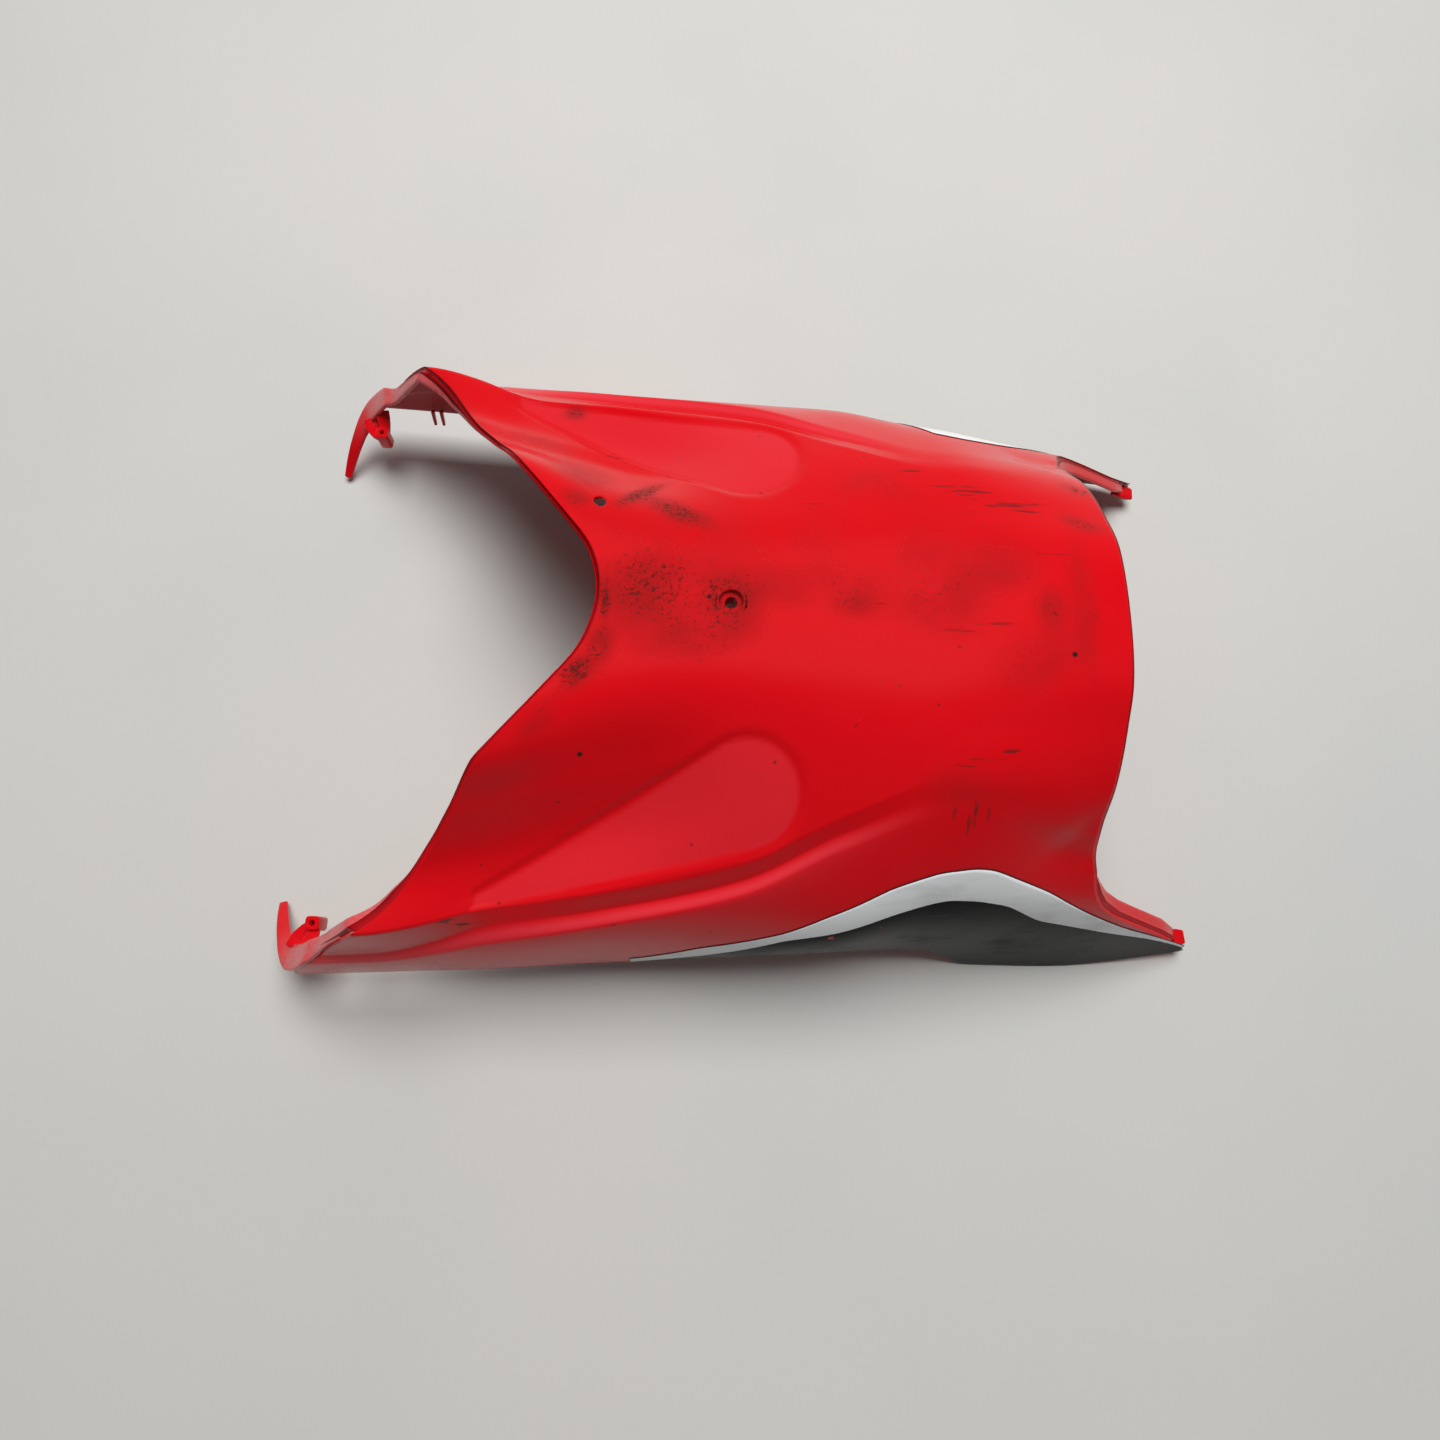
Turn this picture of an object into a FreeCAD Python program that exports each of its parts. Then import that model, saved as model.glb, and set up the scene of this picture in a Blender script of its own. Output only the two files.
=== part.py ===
import FreeCAD, Part
import math
import os

import Sketcher

# Scooter underbody panel, lying belly up and open below: one moulded shell,
# with a printed decal film on each side wall.
# +X points to the wings, Y is zero on the mid-plane, Z is zero on the table.

SIZES = {
    "wall_thickness": 2.8,
    "film_thickness": 0.3,
    "glue_gap": 0.05,
    # side view: tail, nose cut, wings and lower edge
    "tail_reach": 276.0,
    "tail_height": 39.0,
    "rake_bend_reach": 257.0,
    "rake_bend_height": 57.0,
    "rake_bend_radius": 40.0,
    "rake_reach": 202.0,
    "rake_height": 130.0,
    "clear_height": 190.0,
    "clear_width": 480.0,
    "nose_reach": 203.9,
    "wing_corner_place": 193.4,
    "wing_corner_height": 93.0,
    "wing_radius": 70.0,
    "tip_reach": 299.5,
    "tip_height": 12.0,
    "tip_root_height": 19.0,
    "tip_step_height": 23.0,
    "skirt_rise": 33.0,
    "skirt_reach": 117.5,
    "skirt_radius": 25.0,
    "bulge_reach": 147.5,
    "bulge_radius": 22.0,
    # plan view: rounded V between the horns, and the lip that turns in along it
    "vee_reach": 66.9,
    "vee_radius": 63.0,
    "horn_reach": 209.6,
    "horn_gap": 173.0,
    "horn_radius": 20.0,
    "lip_thickness": 3.0,
    "lip_depth": 6.0,
    "lip_gap": 160.0,
    # lips that turn in along the raked tail and along the wings
    "rake_lip_shift": 4.5,
    "rake_lip_height": 104.0,
    "rake_lip_top_offset": 169.0,
    "rake_lip_tail_offset": 181.0,
    "wing_lip_thickness": 3.2,
    "wing_lip_start": 202.0,
    "wing_lip_start_offset": 124.0,
    "wing_lip_bend_place": 230.0,
    "wing_lip_bend_offset": 142.0,
    # screw seat on the belly, and the hole beside it on the left
    "seat_place": -14.0,
    "seat_radius": 6.5,
    "seat_depth": 3.0,
    "screw_bore_radius": 3.3,
    "boss_radius": 9.5,
    "boss_depth": 12.0,
    "side_hole_radius": 3.7,
    "side_hole_place": -88.6,
    "side_hole_offset": 59.5,
    # teardrop recess on each flank
    "recess_depth": 1.2,
    "recess_margin": 1.0,
    "drop_place": -3.4,
    "drop_offset": 101.0,
    "drop_radius": 29.5,
    "drop_tail_reach": 151.4,
    "drop_tail_inner": 155.0,
    "drop_tail_outer": 163.7,
    # hooked tongue at the end of each horn, in plan view and in rear view
    "tongue_reach": 299.5,
    "tongue_elbow_reach": 297.0,
    "tongue_elbow_offset": 161.5,
    "tongue_tip_offset": 155.0,
    "tongue_tip_width": 7.5,
    "tongue_bend_reach": 284.5,
    "tongue_bend_offset": 168.0,
    "tongue_root_reach": 267.5,
    "tongue_root_offset": 200.0,
    "tongue_root_width": 10.0,
    "tongue_height": 43.5,
    "tongue_shoulder_offset": 192.0,
    "tongue_tip_height": 5.0,
    "tongue_thickness": 5.0,
    "tongue_foot_width": 2.0,
    # pilot block and its arm behind each tongue
    "block_place": -259.5,
    "block_offset": 170.0,
    "block_length": 8.5,
    "block_width": 8.5,
    "block_bottom": 30.0,
    "block_height": 14.0,
    "arm_bottom": 33.0,
    "arm_thickness": 3.0,
    "pilot_radius": 1.6,
    # prongs under the lower edge, and a tab at each wing tip
    "prong_place": -228.5,
    "prong_spacing": 6.0,
    "prong_thickness": 2.0,
    "prong_inner": 187.5,
    "prong_bottom": 27.5,
    "prong_height": 10.0,
    "tab_length": 14.0,
    "tab_inner": 158.5,
    "tab_thickness": 4.0,
    # decal outline in side view
    "decal_start_reach": 66.0,
    "decal_start_height": 54.4,
    "decal_peak_place": 118.0,
    "decal_peak_height": 129.0,
    "decal_peak_radius": 64.0,
    "decal_end_reach": 296.0,
    "decal_end_height": 16.6,
}

ROLES = ("edge", "scallop", "flank", "lip", "valley", "ridge", "wall", "foot")

# Half sections from the keel outwards. Each has its place along X, its keel
# height, and the distance from the mid-plane and the height of every role.
SECTIONS = {
    "rear": (-300.0, 121.5, (
        (99, 117.5), (129, 96), (156, 77), (182, 76), (188.5, 59.5), (195, 43), (202.5, 28), (205, -20),
    )),
    "horn": (-207.5, 153.5, (
        (94.5, 150), (124.5, 128.5), (151.5, 109.5), (177.5, 108), (184, 92), (190.5, 68), (197.5, 31.5),
        (200.5, -20),
    )),
    "hip": (-142.5, 158.5, (
        (86.5, 155.5), (107.5, 134.5), (133, 112.5), (163, 103), (171.5, 93), (180.5, 86.5), (192.5, 50),
        (192.5, -20),
    )),
    "haunch": (-82.5, 159.5, (
        (58.5, 155.5), (91, 135.5), (121, 116), (153, 109.5), (161.5, 99.5), (170, 98), (186.5, 55.5),
        (191, -20),
    )),
    "waist": (-2.5, 161.5, (
        (46, 158.5), (75.5, 149), (105, 137.5), (136, 124.5), (144.5, 115), (152.5, 115), (180.5, 73.5),
        (180, -20),
    )),
    "rib": (52.5, 163.5, (
        (46, 161), (69.5, 156), (89.5, 149.5), (110.5, 141), (119, 134), (128, 130.5), (171.5, 89),
        (182, -20),
    )),
    "brow": (107.5, 165.5, (
        (46, 163), (65.5, 159.5), (80, 156), (92, 152), (101, 147), (111, 140.5), (155, 99.5), (189, -20),
    )),
    "nose": (201.0, 168.5, (
        (42, 164.5), (61, 156.5), (80, 147), (98.5, 134.5), (113, 120.5), (126, 103.5), (148.5, 85),
        (193.5, -20),
    )),
    "front": (300.0, 150.5, (
        (42, 146.5), (61, 139), (80, 129.5), (98.5, 118), (113, 104), (126, 87), (150, 51), (189, -20),
    )),
}

ROWS = 45
STEPS_PER_SPAN = 5
END_MARGIN = 4.0
BACK_MARGIN = 40.0

# The floor of the space inside the shell: a narrow strip well below the table
CORE_SPREAD = 0.15
CORE_SINK = 0.02
CORE_DEPTH = 20.0

document = FreeCAD.newDocument("underbody_panel")
sheet = document.addObject("Spreadsheet::Sheet", "sizes")


def fill_sheet():
    """Write every driving size to the sheet, one row each, under its own name."""
    entries = dict(SIZES)
    for station, (place, height, knots) in SECTIONS.items():
        entries[station + "_place"] = place
        entries[station + "_height"] = height
        for role, (across, level) in zip(ROLES, knots):
            entries["%s_%s_across" % (station, role)] = across
            entries["%s_%s_level" % (station, role)] = level
    for row, (name, value) in enumerate(entries.items(), start=1):
        sheet.set("A%d" % row, name)
        sheet.set("B%d" % row, str(value))
        sheet.setAlias("B%d" % row, name)
    document.recompute()


def size(name):
    """Value of one size on the sheet."""
    return float(sheet.get(name))


def value_of(expression):
    """Number that an expression on the sheet gives now."""
    return float(sheet.evalExpression(expression))


# The skin: smooth curves along X through the stations, and across each section


def station_knots():
    """Places of all stations in order, and each one's knots as (Y, Z) pairs, keel first."""
    table = {}
    for station in SECTIONS:
        knots = [(0.0, size(station + "_height"))]
        for role in ROLES:
            across = size("%s_%s_across" % (station, role))
            level = size("%s_%s_level" % (station, role))
            knots.append((across, level))
        table[size(station + "_place")] = knots
    places = sorted(table)
    return places, [table[place] for place in places]


def level_slopes(places, values):
    """Slopes at the stations for a curve that never swings past its values."""
    spans = [b - a for a, b in zip(places, places[1:])]
    rates = [(b - a) / span for a, b, span in zip(values, values[1:], spans)]
    slopes = [rates[0]]
    for i in range(1, len(rates)):
        before, after = rates[i - 1], rates[i]
        if before * after <= 0:
            slopes.append(0.0)
            continue
        first = 2 * spans[i] + spans[i - 1]
        second = spans[i] + 2 * spans[i - 1]
        slopes.append((first + second) / (first / before + second / after))
    slopes.append(rates[-1])
    return slopes


def cubic(start, end, slope_start, slope_end, span, share):
    """Cubic between two values with given end slopes."""
    left = 1.0 - share
    ends = (1 + 2 * share) * left * left * start + share * share * (3 - 2 * share) * end
    return ends + span * share * left * (left * slope_start - share * slope_end)


def value_along(places, values, slopes, place):
    """Value at a place along X on the smooth curve through the stations."""
    index = max(i for i in range(len(places) - 1) if i == 0 or places[i] <= place)
    span = places[index + 1] - places[index]
    share = (place - places[index]) / span
    return cubic(values[index], values[index + 1], slopes[index], slopes[index + 1], span, share)


class Skin:
    """Outer skin of the panel: section curves at any place along X."""

    def __init__(self):
        self.places, knots = station_knots()
        self.rails = []
        for role in range(len(ROLES) + 1):
            rail = []
            for axis in (0, 1):
                values = [station[role][axis] for station in knots]
                rail.append((values, level_slopes(self.places, values)))
            self.rails.append(rail)

    def knots(self, place):
        """Section knots at a place, keel first."""
        return [
            tuple(value_along(self.places, values, slopes, place) for values, slopes in rail)
            for rail in self.rails
        ]

    def section(self, place):
        """Whole section from foot to foot, as points of a smooth curve through the knots."""
        half = self.knots(place)
        knots = [(-half[1][0], half[1][1])] + half
        times = [0.0]
        for (y0, z0), (y1, z1) in zip(knots, knots[1:]):
            times.append(times[-1] + math.hypot(y1 - y0, z1 - z0) ** 0.7)
        curve = []
        slopes = [self.knot_slopes([knot[axis] for knot in knots], times) for axis in (0, 1)]
        for i in range(1, len(knots) - 1):
            span = times[i + 1] - times[i]
            for step in range(STEPS_PER_SPAN):
                share = step / STEPS_PER_SPAN
                curve.append(tuple(
                    cubic(knots[i][a], knots[i + 1][a], slopes[a][i], slopes[a][i + 1], span, share)
                    for a in (0, 1)
                ))
        curve.append(knots[-1])
        mirrored = [(-y, z) for y, z in curve[:0:-1]]
        return [FreeCAD.Vector(place, y, z) for y, z in mirrored + curve]

    @staticmethod
    def knot_slopes(values, times):
        """Slope at each knot, from the parabola through it and its neighbours."""
        spans = [b - a for a, b in zip(times, times[1:])]
        rates = [(b - a) / span for a, b, span in zip(values, values[1:], spans)]
        inner = [
            (rates[i - 1] * spans[i] + rates[i] * spans[i - 1]) / (spans[i - 1] + spans[i])
            for i in range(1, len(rates))
        ]
        return [rates[0]] + inner + [rates[-1]]

    def grid(self):
        """Rows of skin points and of outward normals, from the tail to the tips."""
        start = -size("tongue_reach") - END_MARGIN
        pitch = (size("tip_reach") + END_MARGIN - start) / (ROWS - 1)
        points, normals = [], []
        for row in range(ROWS):
            place = start + row * pitch
            here = self.section(place)
            behind = self.section(place - 0.5)
            ahead = self.section(place + 0.5)
            last = len(here) - 1
            points.append(here)
            row_normals = []
            for i in range(last + 1):
                across = here[min(i + 1, last)] - here[max(i - 1, 0)]
                normal = (ahead[i] - behind[i]).cross(across)
                row_normals.append(normal.normalize())
            normals.append(row_normals)
        return points, normals


def offset_grid(points, normals, depth):
    """Grid that lies a depth inside the skin, or outside it where the depth is negative."""
    return [
        [point - normal * depth for point, normal in zip(point_row, normal_row)]
        for point_row, normal_row in zip(points, normals)
    ]


def solid_between(upper, lower):
    """Solid between two grids of points: a smooth face on each, joined along their edges."""
    surfaces = []
    for rows in (upper, lower):
        surface = Part.BSplineSurface()
        surface.interpolate(rows)
        surfaces.append(surface)
    faces = [surface.toShape() for surface in surfaces]
    limits = [surface.bounds() for surface in surfaces]
    for end in (0, 1):
        edges = [surface.uIso(limit[end]).toShape() for surface, limit in zip(surfaces, limits)]
        faces.append(Part.makeRuledSurface(*edges))
    for end in (2, 3):
        edges = [surface.vIso(limit[end]).toShape() for surface, limit in zip(surfaces, limits)]
        faces.append(Part.makeRuledSurface(*edges))
    shell = Part.Shell(faces)
    shell.sewShape()
    solid = Part.Solid(shell)
    if solid.Volume < 0:
        solid.reverse()
    return solid


def skin_layer(name, near, far):
    """Layer of the skin between two depths."""
    layer = document.addObject("Part::Feature", name)
    layer.Shape = solid_between(offset_grid(POINTS, NORMALS, near), offset_grid(POINTS, NORMALS, far))
    return layer


def inner_core(name):
    """Space under the middle of the wall, which trims what is moulded onto its inside."""
    floor = [
        [FreeCAD.Vector(point.x, CORE_SPREAD * point.y, CORE_SINK * point.z - CORE_DEPTH) for point in row]
        for row in POINTS
    ]
    core = document.addObject("Part::Feature", name)
    core.Shape = solid_between(offset_grid(POINTS, NORMALS, size("wall_thickness") / 2), floor)
    return core


# Outlines: closed sketches whose corners are expressions on the sheet


def hold_point(sketch, geometry, position, axis, expression):
    """Keep a point at its place along one sketch axis."""
    if expression == "0":
        other_axis = -2 if axis == "X" else -1
        sketch.addConstraint(Sketcher.Constraint("PointOnObject", geometry, position, other_axis))
        return
    place = value_of(expression)
    kind = "Distance" + axis
    if place < 0:
        index = sketch.addConstraint(Sketcher.Constraint(kind, geometry, position, -1, 1, -place))
        expression = "-(%s)" % expression
    else:
        index = sketch.addConstraint(Sketcher.Constraint(kind, -1, 1, geometry, position, place))
    sketch.setExpression("Constraints[%d]" % index, expression)


def round_corner(corner, before, after, radius):
    """Arc of a rounded corner, with its ends on the side before and the side after."""
    towards_before = (before - corner).normalize()
    towards_after = (after - corner).normalize()
    half_angle = towards_before.getAngle(towards_after) / 2
    reach = radius / math.tan(half_angle)
    centre = corner + (towards_before + towards_after).normalize() * (radius / math.sin(half_angle))
    ends = [corner + towards_before * reach, corner + towards_after * reach]
    angles = [math.atan2(end.y - centre.y, end.x - centre.x) for end in ends]
    turns_left = (corner - before).cross(after - corner).z > 0
    if not turns_left:
        angles.reverse()
    circle = Part.Circle(centre, FreeCAD.Vector(0, 0, 1), radius)
    return Part.ArcOfCircle(circle, *angles), ends, turns_left


def outline(name, rotation, corners):
    """Closed sketch of straight sides; each corner is X, Y and a radius or None."""
    sketch = document.addObject("Sketcher::SketchObject", name)
    sketch.Placement = FreeCAD.Placement(FreeCAD.Vector(0, 0, 0), rotation)
    spots = [FreeCAD.Vector(value_of(x), value_of(y), 0) for x, y, radius in corners]
    count = len(corners)
    rounds = {}
    for i, (x, y, radius) in enumerate(corners):
        if radius:
            rounds[i] = round_corner(spots[i], spots[i - 1], spots[(i + 1) % count], value_of(radius))
    for i in range(count):
        after = (i + 1) % count
        start = rounds[i][1][1] if i in rounds else spots[i]
        end = rounds[after][1][0] if after in rounds else spots[after]
        sketch.addGeometry(Part.LineSegment(start, end), False)
    for i, (x, y, radius) in enumerate(corners):
        before = (i - 1) % count
        if i not in rounds:
            sketch.addConstraint(Sketcher.Constraint("Coincident", before, 2, i, 1))
            hold_point(sketch, i, 1, "X", x)
            hold_point(sketch, i, 1, "Y", y)
            continue
        arc_shape, ends, turns_left = rounds[i]
        arc = sketch.addGeometry(arc_shape, False)
        spot = sketch.addGeometry(Part.Point(spots[i]), True)
        first, second = (1, 2) if turns_left else (2, 1)
        sketch.addConstraint(Sketcher.Constraint("Tangent", before, 2, arc, first))
        sketch.addConstraint(Sketcher.Constraint("Tangent", i, 1, arc, second))
        sketch.addConstraint(Sketcher.Constraint("PointOnObject", spot, 1, before))
        sketch.addConstraint(Sketcher.Constraint("PointOnObject", spot, 1, i))
        index = sketch.addConstraint(Sketcher.Constraint("Radius", arc, value_of(radius)))
        sketch.setExpression("Constraints[%d]" % index, radius)
        hold_point(sketch, spot, 1, "X", x)
        hold_point(sketch, spot, 1, "Y", y)
    return sketch


def extrude(name, sketch, length, both_ways=False, backwards=False):
    """Prism on a sketch, along its normal."""
    prism = document.addObject("Part::Extrusion", name)
    prism.Base = sketch
    prism.DirMode = "Normal"
    prism.Solid = True
    prism.Symmetric = both_ways
    prism.Reversed = backwards
    prism.setExpression("LengthFwd", length)
    return prism


PLAN = FreeCAD.Rotation()
SIDE = FreeCAD.Rotation(FreeCAD.Vector(1, 0, 0), 90)
REAR = FreeCAD.Rotation(FreeCAD.Vector(1, 1, 1), 120)
OUTER = "sizes.clear_width / 2"


def side_profile():
    """What is kept in side view: raked tail, nose cut, wings and the stepped lower edge."""
    corners = [
        ("-sizes.tail_reach", "sizes.skirt_rise", None),
        ("sizes.skirt_reach", "sizes.skirt_rise", "sizes.skirt_radius"),
        ("sizes.bulge_reach", "0", "sizes.bulge_radius"),
        ("sizes.tip_reach", "0", None),
        ("sizes.tip_reach", "sizes.tip_height", None),
        ("sizes.tip_reach - sizes.tab_length", "sizes.tip_root_height", None),
        ("sizes.tip_reach - sizes.tab_length", "sizes.tip_step_height", None),
        ("sizes.wing_corner_place", "sizes.wing_corner_height", "sizes.wing_radius"),
        ("sizes.nose_reach", "sizes.clear_height", None),
        ("-sizes.rake_reach", "sizes.clear_height", None),
        ("-sizes.rake_reach", "sizes.rake_height", None),
        ("-sizes.rake_bend_reach", "sizes.rake_bend_height", "sizes.rake_bend_radius"),
        ("-sizes.tail_reach", "sizes.tail_height", None),
    ]
    return extrude("side_profile", outline("side_outline", SIDE, corners), "sizes.clear_width", True)


def rounded_vee(name, reach, radius, end_reach, gap, back_reach, end_radius=None):
    """Prism of a rounded V that opens towards the tail."""
    corners = [
        ("-(%s)" % reach, "0", radius),
        ("-(%s)" % end_reach, gap, end_radius),
        ("-(%s)" % back_reach, gap, None),
        ("-(%s)" % back_reach, "-(%s)" % gap, None),
        ("-(%s)" % end_reach, "-(%s)" % gap, end_radius),
    ]
    return extrude(name, outline(name + "_outline", PLAN, corners), "sizes.clear_height")


def boolean(kind, name, base, tool):
    """Part boolean of two objects."""
    result = document.addObject("Part::" + kind, name)
    result.Base = base
    result.Tool = tool
    return result


def fuse_all(name, pieces):
    """One shape of several."""
    result = document.addObject("Part::MultiFuse", name)
    result.Shapes = pieces
    return result


def mirror_across(name, piece):
    """Copy on the other side of the mid-plane."""
    copy = document.addObject("Part::Mirroring", name)
    copy.Source = piece
    copy.Normal = FreeCAD.Vector(0, 1, 0)
    return copy


def box(name, length, width, height, x, y, z):
    """Box whose sides and lowest corner are expressions."""
    block = document.addObject("Part::Box", name)
    block.setExpression("Length", length)
    block.setExpression("Width", width)
    block.setExpression("Height", height)
    place(block, x, y, z)
    return block


def cylinder(name, radius, height, x, y, z):
    """Upright cylinder whose sizes and base centre are expressions."""
    rod = document.addObject("Part::Cylinder", name)
    rod.setExpression("Radius", radius)
    rod.setExpression("Height", height)
    place(rod, x, y, z)
    return rod


def place(piece, x, y, z):
    """Bind a piece's base point to expressions."""
    for axis, expression in zip("xyz", (x, y, z)):
        if expression != "0":
            piece.setExpression("Placement.Base." + axis, expression)


# The moulded shell


def opened_shell(profile):
    """Wall of the panel with the V between its horns and the lip that turns in along the V."""
    wall = skin_layer("wall_layer", 0, size("wall_thickness"))
    lip = skin_layer("lip_layer", size("wall_thickness") / 2, size("lip_depth"))
    back = "sizes.tongue_reach + %g" % BACK_MARGIN
    run = "(sizes.horn_reach - sizes.vee_reach)"
    side = "sqrt(sizes.horn_gap ^ 2 + %s ^ 2)" % run
    vee = rounded_vee(
        "vee", "sizes.vee_reach", "sizes.vee_radius", "sizes.horn_reach", "sizes.horn_gap", back,
        "sizes.horn_radius",
    )
    wider_reach = "sizes.vee_reach - sizes.lip_thickness * %s / sizes.horn_gap" % side
    wider_end = "%s + sizes.lip_gap * %s / sizes.horn_gap" % (wider_reach, run)
    wider_back = "%s + sizes.lip_thickness" % wider_end
    wider_radius = "sizes.vee_radius + sizes.lip_thickness"
    wider = rounded_vee("wider_vee", wider_reach, wider_radius, wider_end, "sizes.lip_gap", wider_back)
    lip_band = boolean("Common", "lip_band", lip, wider)
    lipped = boolean("Fuse", "lipped_wall", wall, lip_band)
    trimmed = boolean("Common", "trimmed_wall", lipped, profile)
    return boolean("Cut", "opened_wall", trimmed, vee)


def edge_lip(name, band_corners, plan_corners):
    """Lip that turns in along an edge: a band in side view, limited in plan view."""
    band_sketch = outline(name + "_band_outline", SIDE, band_corners)
    band = extrude(name + "_band", band_sketch, "sizes.clear_width", True)
    plan_sketch = outline(name + "_plan_outline", PLAN, plan_corners)
    reach = extrude(name + "_plan", plan_sketch, "sizes.clear_height")
    return boolean("Common", name, band, reach)


def rake_lip():
    """Lip along the raked edge of the horn."""
    run = "(sizes.rake_bend_reach - sizes.rake_reach) / (sizes.rake_height - sizes.rake_bend_height)"
    top = "-sizes.rake_bend_reach + (sizes.rake_lip_height - sizes.rake_bend_height) * %s" % run
    band_corners = [
        ("-sizes.tail_reach", "sizes.skirt_rise", None),
        ("-sizes.tail_reach + sizes.rake_lip_shift", "sizes.skirt_rise", None),
        ("-sizes.tail_reach + sizes.rake_lip_shift", "sizes.tail_height", None),
        ("-sizes.rake_bend_reach + sizes.rake_lip_shift", "sizes.rake_bend_height", None),
        ("%s + sizes.rake_lip_shift" % top, "sizes.rake_lip_height", None),
        (top, "sizes.rake_lip_height", None),
        ("-sizes.rake_bend_reach", "sizes.rake_bend_height", "sizes.rake_bend_radius"),
        ("-sizes.tail_reach", "sizes.tail_height", None),
    ]
    plan_corners = [
        ("-sizes.tail_reach", "sizes.rake_lip_tail_offset", None),
        ("-sizes.rake_reach", "sizes.rake_lip_top_offset", None),
        ("-sizes.rake_reach", OUTER, None),
        ("-sizes.tail_reach", OUTER, None),
    ]
    return edge_lip("rake_lip", band_corners, plan_corners)


def wing_lip():
    """Lip along the edge of the wing, from the nose cut to its tip."""
    step_place = "sizes.tip_reach - sizes.tab_length"
    lean = "(sizes.nose_reach - sizes.wing_corner_place) / (sizes.clear_height - sizes.wing_corner_height)"
    rise = "(sizes.clear_height - sizes.wing_corner_height) / 2"
    nose = "sizes.wing_corner_place + %s * %s" % (lean, rise)
    band_corners = [
        (nose, "sizes.wing_corner_height + %s" % rise, None),
        ("%s - sizes.wing_lip_thickness" % nose, "sizes.wing_corner_height + %s" % rise, None),
        (
            "sizes.wing_corner_place - 1.05 * sizes.wing_lip_thickness",
            "sizes.wing_corner_height - 0.45 * sizes.wing_lip_thickness",
            "sizes.wing_radius + sizes.wing_lip_thickness",
        ),
        (step_place, "sizes.tip_step_height - 1.25 * sizes.wing_lip_thickness", None),
        (step_place, "sizes.tip_step_height", None),
        ("sizes.wing_corner_place", "sizes.wing_corner_height", "sizes.wing_radius"),
    ]
    plan_corners = [
        ("sizes.wing_lip_start", "sizes.wing_lip_start_offset", None),
        ("sizes.wing_lip_bend_place", "sizes.wing_lip_bend_offset", None),
        (step_place, "sizes.tab_inner", None),
        (step_place, OUTER, None),
        ("sizes.wing_lip_start", OUTER, None),
    ]
    return edge_lip("wing_lip", band_corners, plan_corners)


def tongue():
    """Hooked tongue that runs from the tail corner inwards and down to the table."""
    plan_corners = [
        ("-sizes.tongue_root_reach", "sizes.tongue_root_offset", None),
        ("-sizes.tongue_elbow_reach", "sizes.tongue_elbow_offset", None),
        ("-sizes.tongue_reach", "sizes.tongue_tip_offset", None),
        ("-sizes.tongue_reach + sizes.tongue_tip_width", "sizes.tongue_tip_offset", None),
        ("-sizes.tongue_bend_reach", "sizes.tongue_bend_offset", None),
        ("-sizes.tongue_root_reach", "sizes.tongue_root_offset - sizes.tongue_root_width", None),
    ]
    plan_sketch = outline("tongue_plan_outline", PLAN, plan_corners)
    seen_from_above = extrude("tongue_plan", plan_sketch, "sizes.clear_height")
    rear_corners = [
        (OUTER, "sizes.tongue_height", None),
        ("sizes.tongue_shoulder_offset", "sizes.tongue_height", None),
        ("sizes.tongue_tip_offset", "sizes.tongue_tip_height", None),
        ("sizes.tongue_tip_offset", "0", None),
        ("sizes.tongue_tip_offset + sizes.tongue_foot_width", "0", None),
        ("sizes.tongue_shoulder_offset", "sizes.tongue_height - sizes.tongue_thickness", None),
        (OUTER, "sizes.tongue_height - sizes.tongue_thickness", None),
    ]
    rear_sketch = outline("tongue_rear_outline", REAR, rear_corners)
    seen_from_rear = extrude("tongue_rear", rear_sketch, "2 * sizes.clear_width", True)
    return boolean("Common", "tongue", seen_from_above, seen_from_rear)


def moulded_details():
    """Tongues, pilot blocks, prongs, tip tabs, screw boss and turned-in lips."""
    block = box(
        "pilot_block", "sizes.block_length", "sizes.block_width", "sizes.block_height",
        "sizes.block_place - sizes.block_length / 2", "sizes.block_offset - sizes.block_width / 2",
        "sizes.block_bottom",
    )
    arm = box(
        "arm", "sizes.tail_reach + sizes.block_place", OUTER, "sizes.arm_thickness",
        "-sizes.tail_reach", "sizes.block_offset", "sizes.arm_bottom",
    )
    pieces = [tongue(), block, arm, rake_lip(), wing_lip()]
    for i in range(2):
        pieces.append(box(
            "prong_%d" % (i + 1), "sizes.prong_thickness", OUTER, "sizes.prong_height",
            "sizes.prong_place + %d * sizes.prong_spacing" % i, "sizes.prong_inner", "sizes.prong_bottom",
        ))
    pieces.append(box(
        "tip_tab", "sizes.tab_length", OUTER, "sizes.tab_thickness",
        "sizes.tip_reach - sizes.tab_length", "sizes.tab_inner", "sizes.tip_height - sizes.tab_thickness",
    ))
    left = fuse_all("left_details", pieces)
    right = mirror_across("right_details", left)
    boss = cylinder(
        "screw_boss", "sizes.boss_radius", "sizes.boss_depth", "sizes.seat_place", "0",
        "sizes.waist_height - sizes.boss_depth",
    )
    details = fuse_all("details", [left, right, boss])
    return boolean("Common", "moulded_details", details, inner_core("core"))


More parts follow.
